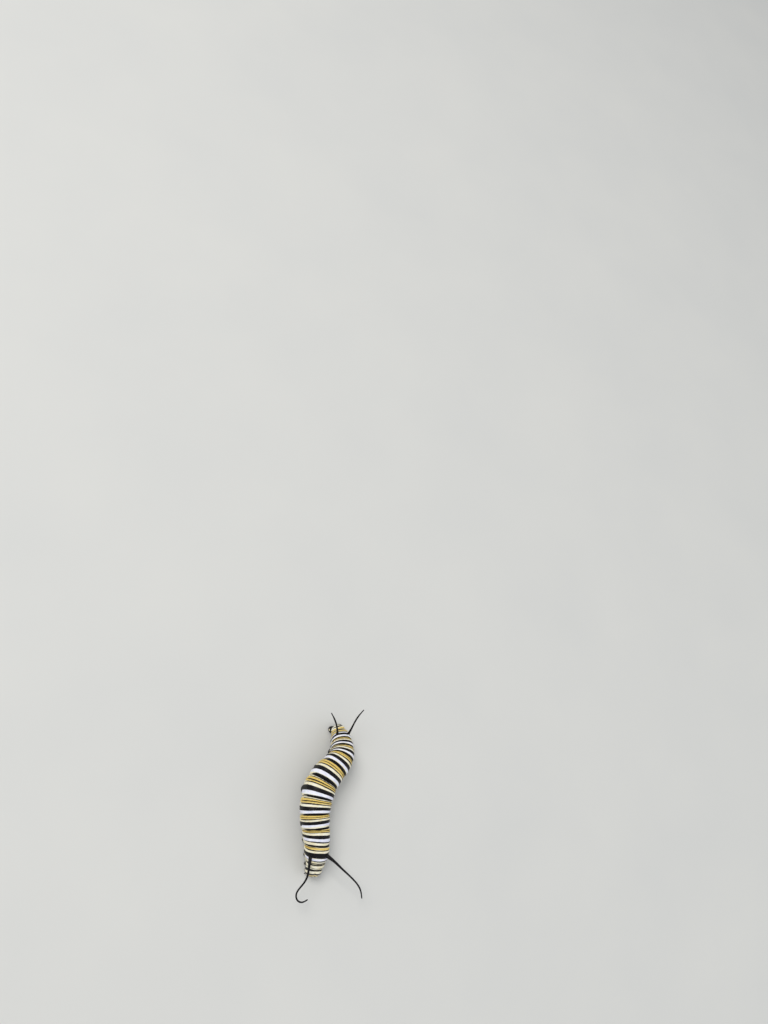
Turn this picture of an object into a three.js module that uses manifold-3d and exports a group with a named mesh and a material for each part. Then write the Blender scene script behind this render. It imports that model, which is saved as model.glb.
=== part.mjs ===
// A monarch butterfly larva in its last instar, life size, as a still model.
// Millimetres and degrees. +Z is up and the floor is z = 0. The head looks along -Y, and the
// larva's own left is +X. The body is a tube on a bent axis, parted at the folds between segments.
import * as THREE from "three";
import { mergeVertices } from "three/addons/utils/BufferGeometryUtils.js";
import Module from "manifold-3d";

const wasm = await Module();
wasm.setup();

// Gap that parts neighbouring pieces
const GAP = 0.3;

// Where the body's axis starts, at the front rim of the prothorax
const AXIS_START = [-2.421, -11.627, 2.45];

// The body, from the prothorax to the anal segment. Length is along the back, heading 0 runs
// towards +Y and turns towards +X, and pitch is the climb towards the rear.
const SEGMENTS = [
  { name: "thorax_1", length: 1.3, halfWidth: 1.85, heading: 4, pitch: 32 },
  { name: "thorax_2", length: 2.95, halfWidth: 2.35, heading: 0, pitch: 19 },
  { name: "thorax_3", length: 3.1, halfWidth: 2.6, heading: -8, pitch: 9 },
  { name: "abdomen_1", length: 2.55, halfWidth: 2.85, heading: -7, pitch: 6 },
  { name: "abdomen_2", length: 2.9, halfWidth: 3.02, heading: 8, pitch: 3 },
  { name: "abdomen_3", length: 3.4, halfWidth: 3.2, heading: 19, pitch: 0 },
  { name: "abdomen_4", length: 3.7, halfWidth: 3.05, heading: 44, pitch: -4 },
  { name: "abdomen_5", length: 2.85, halfWidth: 2.7, heading: 43, pitch: -9 },
  { name: "abdomen_6", length: 1.9, halfWidth: 2.5, heading: 14, pitch: -18 },
  { name: "abdomen_7", length: 1.65, halfWidth: 2.3, heading: 3, pitch: -24 },
  { name: "abdomen_8", length: 1.55, halfWidth: 2.05, heading: -3, pitch: -29 },
  { name: "abdomen_9", length: 0.9, halfWidth: 1.72, heading: -9, pitch: -25 },
  { name: "abdomen_10", length: 1.5, halfWidth: 1.4, heading: -15, pitch: -13 },
];
const LAST = SEGMENTS.length - 1;

// Section of the body: heights above and below the axis as shares of the half width, how square
// the section is (2 is an ellipse), and the soft fold that swells low on each flank
const DORSAL_SHARE = 0.98;
const VENTRAL_SHARE = 0.9;
const SQUARENESS = 2.25;
const FLANK = { angle: 112, swell: 0.045, spread: 15 };

// How far the skin draws in at a fold between segments, as a share of the half width
const FOLD_DEPTH = 0.085;

// The front rim of the prothorax, and the round tail
const FRONT_RIM_SHARE = 0.82;
const TAIL_START = LAST + 0.2;
const TAIL_END_SHARE = 0.2;

// Facets of a body segment, and of the tail
const BODY_SIDES = 28;
const BODY_RINGS = 7;
const TAIL_RINGS = 12;

const SIDES = [
  { word: "left", sign: 1 },
  { word: "right", sign: -1 },
];

// Directions and smooth lists

const degrees = Math.PI / 180;

// Smooth value of a list at a station, where entry i stands at station i + 0.5
function between(list, station) {
  const place = THREE.MathUtils.clamp(station - 0.5, 0, list.length - 1);
  const i = Math.min(Math.floor(place), list.length - 2);
  const t = place - i;
  const at = (k) => list[THREE.MathUtils.clamp(k, 0, list.length - 1)];
  const slopeHere = (at(i + 1) - at(i - 1)) / 2;
  const slopeNext = (at(i + 2) - at(i)) / 2;
  const t2 = t * t;
  const t3 = t2 * t;
  return (
    (2 * t3 - 3 * t2 + 1) * at(i) +
    (t3 - 2 * t2 + t) * slopeHere +
    (3 * t2 - 2 * t3) * at(i + 1) +
    (t3 - t2) * slopeNext
  );
}

// Unit vector of a heading and a climb
function bearing(heading, pitch) {
  const h = heading * degrees;
  const p = pitch * degrees;
  return new THREE.Vector3(Math.sin(h) * Math.cos(p), Math.cos(h) * Math.cos(p), Math.sin(p));
}

// Points along a line that turns smoothly from each stretch to the next
const STEPS = 24;
function walk(start, stretches) {
  const headings = stretches.map((s) => s.heading);
  const pitches = stretches.map((s) => s.pitch);
  const points = [new THREE.Vector3(...start)];
  for (let i = 0; i < stretches.length * STEPS; i++) {
    const station = (i + 0.5) / STEPS;
    const step = bearing(between(headings, station), between(pitches, station));
    step.multiplyScalar(stretches[Math.floor(station)].length / STEPS);
    points.push(points[i].clone().add(step));
  }
  return points;
}

// The skin of the body

const AXIS = walk(AXIS_START, SEGMENTS);
const HEADINGS = SEGMENTS.map((s) => s.heading);
const PITCHES = SEGMENTS.map((s) => s.pitch);
const HALF_WIDTHS = SEGMENTS.map((s) => s.halfWidth);

// The body's own directions at a station. Station 0 is the front rim, and each segment is 1 long.
function frameAt(station) {
  const place = THREE.MathUtils.clamp(station * STEPS, 0, AXIS.length - 1);
  const i = Math.min(Math.floor(place), AXIS.length - 2);
  const heading = between(HEADINGS, station);
  const rear = bearing(heading, between(PITCHES, station));
  const left = bearing(heading + 90, 0);
  return {
    centre: AXIS[i].clone().lerp(AXIS[i + 1], place - i),
    rear,
    left,
    up: left.clone().cross(rear),
  };
}

// How full the body is at a station: 1 in a segment, less at a fold, and round at the tail
function fullness(station) {
  if (station < 0.5) {
    return FRONT_RIM_SHARE + (1 - FRONT_RIM_SHARE) * Math.sin(Math.max(station, 0) * Math.PI);
  }
  if (station > TAIL_START) {
    const t = Math.min((station - TAIL_START) / (LAST + 1 - TAIL_START), 1);
    return TAIL_END_SHARE + (1 - TAIL_END_SHARE) * Math.sqrt(1 - t * t);
  }
  const share = station - Math.floor(station);
  return 1 - FOLD_DEPTH * (1 - 4 * share * (1 - share)) ** 3;
}

const power = (value, exponent) => Math.sign(value) * Math.abs(value) ** exponent;

// Half width and height of the section at a station, on the side that an angle points to
function sectionAt(station, angle) {
  const half = between(HALF_WIDTHS, station) * fullness(station);
  const flank = (Math.abs(angle) - FLANK.angle) / FLANK.spread;
  return {
    across: half * (1 + FLANK.swell * Math.exp(-flank * flank)),
    tall: half * (Math.abs(angle) < 90 ? DORSAL_SHARE : VENTRAL_SHARE),
  };
}

// Point on the skin. The angle is 0 on the midline of the back and grows towards the left.
function skinPoint(station, angle, frame = frameAt(station)) {
  const { across, tall } = sectionAt(station, angle);
  return frame.centre
    .clone()
    .addScaledVector(frame.left, across * power(Math.sin(angle * degrees), 2 / SQUARENESS))
    .addScaledVector(frame.up, tall * power(Math.cos(angle * degrees), 2 / SQUARENESS));
}

// Direction straight out of the skin
function skinNormal(station, angle) {
  const along = skinPoint(station + 0.02, angle).sub(skinPoint(station - 0.02, angle));
  const round = skinPoint(station, angle + 2).sub(skinPoint(station, angle - 2));
  return round.cross(along).normalize();
}

// How far a point is outside the skin, with the slope of the skin taken over a short span
const SLOPE_SPAN = 0.03;
function clearance(point) {
  let nearest = 0;
  for (let i = 1; i < AXIS.length; i++) {
    if (AXIS[i].distanceToSquared(point) < AXIS[nearest].distanceToSquared(point)) nearest = i;
  }
  let station = nearest / STEPS;
  for (let turn = 0; turn < 3; turn++) {
    const { centre, rear } = frameAt(station);
    const { length } = SEGMENTS[THREE.MathUtils.clamp(Math.floor(station), 0, LAST)];
    station += point.clone().sub(centre).dot(rear) / length;
    station = THREE.MathUtils.clamp(station, 0, LAST + 1);
  }
  const frame = frameAt(station);
  const offset = point.clone().sub(frame.centre);
  const x = offset.dot(frame.left);
  const z = offset.dot(frame.up);
  const angle = Math.atan2(x, z) / degrees;
  const { across, tall } = sectionAt(station, angle);
  const reach = (Math.abs(x / across) ** SQUARENESS + Math.abs(z / tall) ** SQUARENESS) ** (1 / SQUARENESS);
  const { length } = SEGMENTS[THREE.MathUtils.clamp(Math.floor(station), 0, LAST)];
  const growth = sectionAt(station + SLOPE_SPAN, angle).across - sectionAt(station - SLOPE_SPAN, angle).across;
  const slope = growth / (2 * SLOPE_SPAN * length);
  return (Math.hypot(x, z) * (1 - 1 / reach)) / Math.hypot(1, slope);
}

// Shapes

// A share or a length too small to matter, and the halvings that find a root
const HAIR = 1e-6;
const ROOT_TURNS = 16;

// Moves every corner of a geometry
function warp(geometry, move) {
  const places = geometry.attributes.position;
  for (let i = 0; i < places.count; i++) {
    const p = move(new THREE.Vector3().fromBufferAttribute(places, i));
    places.setXYZ(i, p.x, p.y, p.z);
  }
  return geometry;
}

// A segment of the body, flat at both ends
function bodySegment(index) {
  const ends = [frameAt(index), frameAt(index + 1)];
  ends[0].centre.addScaledVector(ends[0].rear, GAP / 2);
  ends[1].centre.addScaledVector(ends[1].rear, -GAP / 2);
  const column = new THREE.CylinderGeometry(1, 1, 1, BODY_SIDES, index === LAST ? TAIL_RINGS : BODY_RINGS);
  return warp(column, (p) => {
    const share = p.y + 0.5;
    const station = index + share;
    const frame = share < HAIR ? ends[0] : share > 1 - HAIR ? ends[1] : frameAt(station);
    if (Math.hypot(p.x, p.z) < HAIR) return frame.centre.clone();
    return skinPoint(station, Math.atan2(p.x, p.z) / degrees, frame);
  });
}

// A limb along a curve. Its radius follows a list, one width of its section keeps to a direction
// and may be broader. A rooted limb starts a gap off the surface that its clearance is measured
// from, and a standing one ends flat on the floor.
function limb(points, radii, options) {
  const { from = 0, to = 1, sides, rings, keep, broad = 1, rootedOn = null, standing = false } = options;
  const curve = new THREE.CatmullRomCurve3(points);

  function place(share, x, z) {
    const along = curve.getTangentAt(share);
    const side = keep.clone().addScaledVector(along, -keep.dot(along)).normalize();
    const front = side.clone().cross(along);
    const radius = between(radii, share * (radii.length - 1) + 0.5);
    return curve
      .getPointAt(share)
      .addScaledVector(side, x * radius * broad)
      .addScaledVector(front, z * radius);
  }

  // Where along the curve a line of the limb has come a gap off the surface
  function rootOf(x, z) {
    let inside = 0;
    let outside = 1;
    for (let turn = 0; turn < ROOT_TURNS; turn++) {
      const middle = (inside + outside) / 2;
      if (rootedOn(place(middle, x, z)) < GAP) inside = middle;
      else outside = middle;
    }
    return outside;
  }

  return warp(new THREE.CylinderGeometry(1, 1, 1, sides, rings), (p) => {
    const start = rootedOn ? rootOf(p.x, p.z) : from;
    const share = p.y + 0.5;
    const corner = place(THREE.MathUtils.lerp(start, to, share), p.x, p.z);
    if (standing && share > 1 - HAIR) corner.z = 0;
    return corner;
  });
}

// Joins

function solid(geometry) {
  const shape = geometry.clone();
  shape.deleteAttribute("normal");
  shape.deleteAttribute("uv");
  const merged = mergeVertices(shape, 1e-5);
  return new wasm.Manifold(
    new wasm.Mesh({
      numProp: 3,
      vertProperties: merged.attributes.position.array,
      triVerts: new Uint32Array(merged.index.array),
    }),
  );
}

// Closes up edges that a join leaves shorter than this
const SMALLEST_EDGE = 0.012;

function withoutSlivers(corners, triangles) {
  const touching = corners.map(() => new Set());
  for (const triangle of triangles) for (const c of triangle) touching[c].add(triangle);
  const neighbours = (c) => new Set([...touching[c]].flat().filter((other) => other !== c));
  let closed = true;
  while (closed) {
    closed = false;
    for (let a = 0; a < corners.length; a++) {
      for (const b of neighbours(a)) {
        if (corners[a].distanceTo(corners[b]) >= SMALLEST_EDGE) continue;
        const shared = [...neighbours(a)].filter((c) => neighbours(b).has(c));
        if (shared.length !== 2) continue;
        for (const triangle of [...touching[b]]) {
          for (const c of triangle) touching[c].delete(triangle);
          if (triangle.includes(a)) continue;
          triangle[triangle.indexOf(b)] = a;
          for (const c of triangle) touching[c].add(triangle);
        }
        closed = true;
        break;
      }
    }
  }
  return [...new Set(touching.flatMap((set) => [...set]))];
}

// The largest closed surface of a join, as a geometry
function joined(shapes) {
  const made = shapes.map(solid).reduce((whole, shape) => whole.add(shape));
  const largest = made.decompose().reduce((a, b) => (b.volume() > a.volume() ? b : a));
  const { vertProperties, triVerts } = largest.getMesh();
  const corners = [];
  for (let i = 0; i < vertProperties.length; i += 3) {
    corners.push(new THREE.Vector3(...vertProperties.subarray(i, i + 3)));
  }
  const triangles = [];
  for (let i = 0; i < triVerts.length; i += 3) triangles.push([...triVerts.subarray(i, i + 3)]);
  const kept = withoutSlivers(corners, triangles);
  const geometry = new THREE.BufferGeometry();
  geometry.setFromPoints(kept.flat().map((c) => corners[c]));
  return geometry;
}

// The larva

const larva = new THREE.Group();

const FINISH = {
  skin: { color: 0xe9dfae, roughness: 0.5, metalness: 0 },
  black: { color: 0x16161a, roughness: 0.45, metalness: 0 },
  horn: { color: 0x101012, roughness: 0.25, metalness: 0 },
};

function addPiece(name, geometry, finish) {
  const mesh = new THREE.Mesh(geometry, new THREE.MeshStandardMaterial(FINISH[finish]));
  mesh.name = name;
  larva.add(mesh);
}

for (const [index, segment] of SEGMENTS.entries()) {
  addPiece(segment.name, bodySegment(index), "skin");
}

// Tentacles: soft black filaments, a long pair on the second thoracic segment and a shorter pair
// on the eighth abdominal one, each parted into a few lengths
const ROOT_DEPTH = 0.8;
const TENTACLES = [
  {
    name: "tentacle_front_left",
    station: 1.43,
    angle: 46,
    length: 11.4,
    headings: [128, 130, 130, 128, 130, 134, 148, 172],
    pitches: [20, -4, -8, -10, -10, -9, -7, -5],
    radii: [0.42, 0.34, 0.29, 0.27, 0.25, 0.25, 0.25, 0.14],
    pieces: 3,
  },
  {
    name: "tentacle_front_right",
    station: 1.43,
    angle: -46,
    length: 10.8,
    headings: [196, 187, 190, 208, 222, 214, 168, 112, 66],
    pitches: [20, -4, -8, -11, -12, -12, -9, -7, -5],
    radii: [0.42, 0.34, 0.29, 0.27, 0.25, 0.25, 0.25, 0.14],
    pieces: 3,
  },
  {
    name: "tentacle_rear_left",
    station: 10.5,
    angle: 34,
    length: 6.6,
    headings: [14, 15, 20, 30, 38],
    pitches: [56, 44, 38, 34, 34],
    radii: [0.36, 0.28, 0.25, 0.25, 0.14],
    pieces: 2,
  },
  {
    name: "tentacle_rear_right",
    station: 10.5,
    angle: -34,
    length: 6.6,
    headings: [-30, -31, -35, -42, -46],
    pitches: [56, 46, 42, 38, 36],
    radii: [0.36, 0.28, 0.25, 0.25, 0.14],
    pieces: 2,
  },
];

function addTentacle(tentacle) {
  const { station, angle, length, headings, pitches, pieces } = tentacle;
  const out = skinNormal(station, angle);
  const surface = skinPoint(station, angle);
  const stretches = headings.map((heading, i) => ({
    heading,
    pitch: pitches[i],
    length: length / headings.length,
  }));
  const outside = walk(surface.toArray(), stretches).filter((_, i) => i > 0 && i % (STEPS / 2) === 0);
  const points = [surface.clone().addScaledVector(out, -ROOT_DEPTH), surface, ...outside];
  const halfGap = GAP / 2 / length;
  for (let i = 0; i < pieces; i++) {
    const shape = limb(points, tentacle.radii, {
      from: i / pieces + halfGap,
      to: i === pieces - 1 ? 1 : (i + 1) / pieces - halfGap,
      rootedOn: i === 0 ? clearance : null,
      sides: 8,
      rings: 7,
      keep: new THREE.Vector3(0, 0, 1),
    });
    addPiece(`${tentacle.name}_${i + 1}`, shape, "black");
  }
}
TENTACLES.forEach(addTentacle);

// Jointed legs of the thorax: they leave the belly, bow outwards and come down on their claws.
// The knee and the shin are shares of the leg's height and of its reach ahead.
const LEGS = [
  { station: 0.55, reach: 1.02, ahead: 0.35 },
  { station: 1.45, reach: 1.25, ahead: 0.35 },
  { station: 2.45, reach: 1.45, ahead: 0.3 },
];
const LEG = {
  angle: 146,
  hip: 0.7,
  bow: 0.24,
  knee: { ahead: 0.2, height: 0.62 },
  shin: { ahead: 0.7, height: 0.3 },
  radii: [0.54, 0.52, 0.42, 0.41, 0.31, 0.31, 0.22, 0.1],
  sides: 12,
  rings: 12,
};

// Directions on the floor at a station: out to a side, and towards the head
function floorFrame(station, side) {
  const frame = frameAt(station);
  const ahead = frame.rear.clone().negate().setZ(0).normalize();
  const out = frame.left.clone().multiplyScalar(side.sign);
  const at = (across, forward, height) =>
    frame.centre.clone().addScaledVector(out, across).addScaledVector(ahead, forward).setZ(height);
  return { ahead, at };
}

// A point on the way from the axis to the skin
function underSkin(station, angle, share) {
  return frameAt(station).centre.lerp(skinPoint(station, angle), share);
}

function addLeg(leg, number, side) {
  const { ahead, at } = floorFrame(leg.station, side);
  const angle = side.sign * LEG.angle;
  const height = skinPoint(leg.station, angle).z;
  const bend = ({ ahead: share, height: rise }) => at(leg.reach + LEG.bow, leg.ahead * share, height * rise);
  const points = [
    underSkin(leg.station, angle, LEG.hip),
    bend(LEG.knee),
    bend(LEG.shin),
    at(leg.reach, leg.ahead, 0),
  ];
  const { sides, rings } = LEG;
  const shape = limb(points, LEG.radii, { sides, rings, keep: ahead, rootedOn: clearance, standing: true });
  addPiece(`leg_${side.word}_${number}`, shape, "horn");
}

for (const [i, leg] of LEGS.entries()) {
  for (const side of SIDES) addLeg(leg, i + 1, side);
}

// Fleshy prolegs, four pairs under the abdomen and a pair that clasps behind the last segment. Each
// comes out of the flesh at its hip, goes down to its ankle and widens into a flat sole. The foot is
// its place across, and back its place behind the hip.
const PROLEG = {
  angle: 150,
  hip: 0.6,
  foot: 1.55,
  back: 0,
  knee: 0.5,
  ankle: 0.35,
  broad: 1.12,
  radii: [1.15, 1.1, 0.92, 0.74, 0.7, 0.8, 0.72],
};
const CLASPER = {
  angle: 138,
  hip: 0.35,
  foot: 0.95,
  back: 0.5,
  knee: 0.55,
  ankle: 0.2,
  broad: 1.15,
  radii: [0.5, 0.56, 0.62, 0.6, 0.56, 0.6, 0.54],
};
// Where the four pairs stand. The last two stand further apart, as the body bends most between them.
const PROLEG_STATIONS = [5.5, 6.5, 7.4, 8.7];
const PROLEG_HALF_WIDTH = 3;

function proleg(form, station, size, side) {
  const { ahead, at } = floorFrame(station, side);
  const hip = underSkin(station, side.sign * form.angle, form.hip);
  const down = (height) => at(form.foot * size, -form.back, height);
  const points = [hip, down(hip.z * form.knee), down(form.ankle), down(0)];
  const radii = form.radii.map((radius) => radius * size);
  const { broad } = form;
  return limb(points, radii, { sides: 14, rings: 7, keep: ahead, broad, rootedOn: clearance, standing: true });
}

for (const side of SIDES) {
  for (const station of PROLEG_STATIONS) {
    const index = Math.floor(station);
    const shape = proleg(PROLEG, station, SEGMENTS[index].halfWidth / PROLEG_HALF_WIDTH, side);
    addPiece(`proleg_${side.word}_${index - 2}`, shape, "black");
  }
  addPiece(`proleg_${side.word}_anal`, proleg(CLASPER, LAST + 0.35, 1, side), "black");
}

// The head: a capsule of two round lobes with a groove between them, hanging face forward

const HEAD = { halfWidth: 1.72, halfHeight: 1.6, halfDepth: 1.36, nod: 14, sink: 0.52 };
const CHEEKS = { narrowing: 0.24, from: 0.1 };
const GROOVE = { depth: 0.1, spread: 0.15, low: -0.1, high: 0.45 };
const FRONS = { depth: 0.06, halfWidth: 0.3, middle: -0.25, halfHeight: 0.35 };

const rim = frameAt(0);
const face = bearing(180 + SEGMENTS[0].heading, -HEAD.nod);
const crown = face.clone().cross(rim.left);
const headCentre = rim.centre.clone().addScaledVector(rim.rear, -GAP - HEAD.sink);

// Point of the head from its centre: x to the left, y to the crown, z out of the face
function headPoint(x, y, z) {
  return headCentre
    .clone()
    .addScaledVector(rim.left, x)
    .addScaledVector(crown, y)
    .addScaledVector(face, z);
}

const bump = (value, spread) => Math.exp(-((value / spread) ** 2));
const cheek = (y) => 1 - CHEEKS.narrowing * THREE.MathUtils.smoothstep(-y, CHEEKS.from, 1);

// Point on the capsule in a direction, with no part of it nearer the prothorax than the gap
function capsulePoint({ x, y, z }) {
  const groove =
    1 - GROOVE.depth * bump(x, GROOVE.spread) * THREE.MathUtils.smoothstep(y, GROOVE.low, GROOVE.high);
  const dip = FRONS.depth * bump(x, FRONS.halfWidth) * bump(y - FRONS.middle, FRONS.halfHeight);
  const point = headPoint(
    x * HEAD.halfWidth * cheek(y) * groove,
    y * HEAD.halfHeight * groove,
    z * HEAD.halfDepth * groove * (z > 0 ? 1 - dip : 1),
  );
  const behind = point.clone().sub(rim.centre).dot(rim.rear) + GAP;
  return behind > 0 ? point.addScaledVector(rim.rear, -behind) : point;
}

// How far a point is outside the capsule
function capsuleClearance(point) {
  const offset = point.clone().sub(headCentre);
  const y = offset.dot(crown) / HEAD.halfHeight;
  const x = offset.dot(rim.left) / (HEAD.halfWidth * cheek(y));
  const z = offset.dot(face) / HEAD.halfDepth;
  return offset.length() * (1 - 1 / Math.hypot(x, y, z));
}

// Direction from the middle of the head, turned from the face to a side and raised
function gaze(side, azimuth, elevation) {
  const a = azimuth * degrees;
  const e = elevation * degrees;
  return new THREE.Vector3(side.sign * Math.sin(a) * Math.cos(e), Math.sin(e), Math.cos(a) * Math.cos(e));
}

// Small domed eyes: an arc of five low on each cheek, and a sixth below and in front of it
const STEMMATA = { azimuth: 68, elevation: -24, arc: 14, count: 5, step: 48, radius: 0.14, sink: 0.06 };
const SIXTH_EYE = { azimuth: 50, elevation: -36 };

function stemmata(side) {
  const places = [SIXTH_EYE];
  for (let i = 0; i < STEMMATA.count; i++) {
    const turn = (i - (STEMMATA.count - 1) / 2) * STEMMATA.step * degrees;
    places.push({
      azimuth: STEMMATA.azimuth + STEMMATA.arc * Math.cos(turn),
      elevation: STEMMATA.elevation + STEMMATA.arc * Math.sin(turn),
    });
  }
  return places.map(({ azimuth, elevation }) => {
    const top = capsulePoint(gaze(side, azimuth, elevation));
    const centre = top.clone().lerp(headCentre, STEMMATA.sink / top.distanceTo(headCentre));
    return new THREE.SphereGeometry(STEMMATA.radius, 8, 6).translate(...centre);
  });
}

// The mouth, under the face: a lip plate, an upper lip notched in the middle, a jaw and a feeler on
// each side, and the lower lip with its spinneret behind. Centres and half sizes are left, up, out.
const MOUTH = {
  plate: { centre: [0, -0.98, 0.96], halfSizes: [0.64, 0.2, 0.17], lean: 38 },
  lip: { centre: [0.2, -1.26, 0.82], halfSizes: [0.31, 0.29, 0.17], lean: 24 },
  jaw: { centre: [0.47, -1.33, 0.56], halfSizes: [0.31, 0.33, 0.3] },
  feeler: { centre: [0.43, -1.55, 0.14], halfSizes: [0.14, 0.24, 0.14] },
  chin: { centre: [0, -1.36, 0.05], halfSizes: [0.5, 0.34, 0.36] },
  spinneret: { centre: [0, -1.66, 0.2], halfSizes: [0.12, 0.2, 0.12] },
};
const MOUTH_FACETS = 10;

// A rounded lobe of the mouth, which may lean about the left-right line
function lobe({ centre, halfSizes, lean = 0 }, side) {
  const ball = new THREE.SphereGeometry(1, MOUTH_FACETS, MOUTH_FACETS - 3);
  const turn = new THREE.Euler(lean * degrees, 0, 0);
  return warp(ball, (p) => {
    const spot = p.multiply(new THREE.Vector3(...halfSizes)).applyEuler(turn);
    return headPoint(side.sign * centre[0] + spot.x, centre[1] + spot.y, centre[2] + spot.z);
  });
}

const capsule = warp(new THREE.SphereGeometry(1, 32, 22), capsulePoint);
const middle = { sign: 0 };
const headShapes = [capsule, lobe(MOUTH.plate, middle), lobe(MOUTH.chin, middle), lobe(MOUTH.spinneret, middle)];
for (const side of SIDES) {
  headShapes.push(lobe(MOUTH.lip, side), lobe(MOUTH.jaw, side), lobe(MOUTH.feeler, side), ...stemmata(side));
}
addPiece("head", joined(headShapes), "skin");

// Antennae, short and of three joints, beside the jaws
const ANTENNA = { azimuth: 50, elevation: -30, start: 0.3, length: 0.8, radii: [0.27, 0.27, 0.25, 0.2, 0.13] };

function addAntenna(side) {
  const out = gaze(side, ANTENNA.azimuth, ANTENNA.elevation);
  const skin = capsulePoint(out);
  const ahead = headPoint(out.x, out.y, out.z).sub(headCentre).normalize();
  const points = [-ANTENNA.start, ANTENNA.length].map((reach) => skin.clone().addScaledVector(ahead, reach));
  const shape = limb(points, ANTENNA.radii, { sides: 8, rings: 5, keep: crown, rootedOn: capsuleClearance });
  addPiece(`antenna_${side.word}`, shape, "black");
}
SIDES.forEach(addAntenna);

export default larva;
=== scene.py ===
# A monarch butterfly larva in its last instar, life size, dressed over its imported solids.
# Shapes are worked out in millimetres and made in metres. +Z is up and the floor is z = 0, the
# head looks along -Y, and the larva's own left is +X.
import math
from types import SimpleNamespace as Form

import bpy
import numpy as np
from mathutils import Matrix, Vector


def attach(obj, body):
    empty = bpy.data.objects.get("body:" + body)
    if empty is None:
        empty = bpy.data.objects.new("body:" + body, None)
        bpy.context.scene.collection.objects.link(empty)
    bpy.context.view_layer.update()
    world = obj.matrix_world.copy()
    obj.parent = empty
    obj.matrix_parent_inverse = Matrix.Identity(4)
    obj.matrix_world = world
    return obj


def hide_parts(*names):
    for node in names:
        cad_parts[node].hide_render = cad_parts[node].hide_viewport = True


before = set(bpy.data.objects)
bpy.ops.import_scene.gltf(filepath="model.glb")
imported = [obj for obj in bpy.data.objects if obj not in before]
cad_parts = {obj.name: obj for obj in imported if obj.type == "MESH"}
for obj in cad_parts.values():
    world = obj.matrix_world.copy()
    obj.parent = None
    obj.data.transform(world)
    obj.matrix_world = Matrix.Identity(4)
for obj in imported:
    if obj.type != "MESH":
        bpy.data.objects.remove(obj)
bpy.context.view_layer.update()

MM = 0.001
SEED = 20

# The body's line and its skin, from the same sizes as the solids

AXIS_START = (-2.421, -11.627, 2.45)

# Length along the back, half width, heading towards the rear and climb of each segment
SEGMENTS = [
    ("thorax_1", 1.3, 1.85, 4, 32),
    ("thorax_2", 2.95, 2.35, 0, 19),
    ("thorax_3", 3.1, 2.6, -8, 9),
    ("abdomen_1", 2.55, 2.85, -7, 6),
    ("abdomen_2", 2.9, 3.02, 8, 3),
    ("abdomen_3", 3.4, 3.2, 19, 0),
    ("abdomen_4", 3.7, 3.05, 44, -4),
    ("abdomen_5", 2.85, 2.7, 43, -9),
    ("abdomen_6", 1.9, 2.5, 14, -18),
    ("abdomen_7", 1.65, 2.3, 3, -24),
    ("abdomen_8", 1.55, 2.05, -3, -29),
    ("abdomen_9", 0.9, 1.72, -9, -25),
    ("abdomen_10", 1.5, 1.4, -15, -13),
]
NAMES, *measures = zip(*SEGMENTS)
LENGTHS, HALF_WIDTHS, HEADINGS, PITCHES = np.array(measures, float)
LAST = len(SEGMENTS) - 1
STEPS = 24

FLANK_ANGLE = 90
DORSAL_SHARE = 0.98
VENTRAL_SHARE = 0.9
SQUARENESS = 2.25
FLANK = Form(angle=112, swell=0.045, spread=15)
FOLD_DEPTH = 0.085
FRONT_RIM_SHARE = 0.82
TAIL_START = LAST + 0.2
TAIL_END_SHARE = 0.2

LEFT, RIGHT = 1, -1
SIDE_WORDS = {LEFT: "left", RIGHT: "right"}


def between(values, station):
    """Smooth value of a list at a station, where entry i stands at station i + 0.5."""
    values = np.asarray(values, float)
    place = np.clip(np.asarray(station, float) - 0.5, 0, len(values) - 1)
    i = np.minimum(np.floor(place).astype(int), len(values) - 2)
    t = place - i
    before, here, after, beyond = (values[np.clip(i + k, 0, len(values) - 1)] for k in (-1, 0, 1, 2))
    t2, t3 = t * t, t * t * t
    return (
        (2 * t3 - 3 * t2 + 1) * here
        + (t3 - 2 * t2 + t) * (after - before) / 2
        + (3 * t2 - 2 * t3) * after
        + (t3 - t2) * (beyond - here) / 2
    )


def bearing(heading, pitch):
    """Unit vector of a heading and a climb."""
    h, p = np.radians(heading), np.radians(pitch)
    return np.stack([np.sin(h) * np.cos(p), np.cos(h) * np.cos(p), np.sin(p) + 0 * h], -1)


def unit(vectors):
    return vectors / np.linalg.norm(vectors, axis=-1, keepdims=True)


def dot(a, b):
    return (a * b).sum(-1)


def smoothstep(low, high, value):
    t = np.clip((np.asarray(value, float) - low) / (high - low), 0, 1)
    return t * t * (3 - 2 * t)


def bump(value, spread):
    return np.exp(-((value / spread) ** 2))


def walk(start, lengths, headings, pitches):
    """Points along a line that turns smoothly from each stretch to the next."""
    station = (np.arange(len(lengths) * STEPS) + 0.5) / STEPS
    step = bearing(between(headings, station), between(pitches, station))
    step *= (np.asarray(lengths, float)[station.astype(int)] / STEPS)[:, None]
    return np.vstack([start, np.asarray(start) + np.cumsum(step, 0)])


AXIS = walk(AXIS_START, LENGTHS, HEADINGS, PITCHES)


def frame_at(station):
    """The body's centre and its own rear, left and up directions at stations."""
    station = np.asarray(station, float)
    place = np.clip(station * STEPS, 0, len(AXIS) - 1)
    i = np.minimum(np.floor(place).astype(int), len(AXIS) - 2)
    share = (place - i)[..., None]
    heading = between(HEADINGS, station)
    rear = bearing(heading, between(PITCHES, station))
    left = bearing(heading + 90, 0 * heading)
    return AXIS[i] * (1 - share) + AXIS[i + 1] * share, rear, left, np.cross(left, rear)


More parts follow.
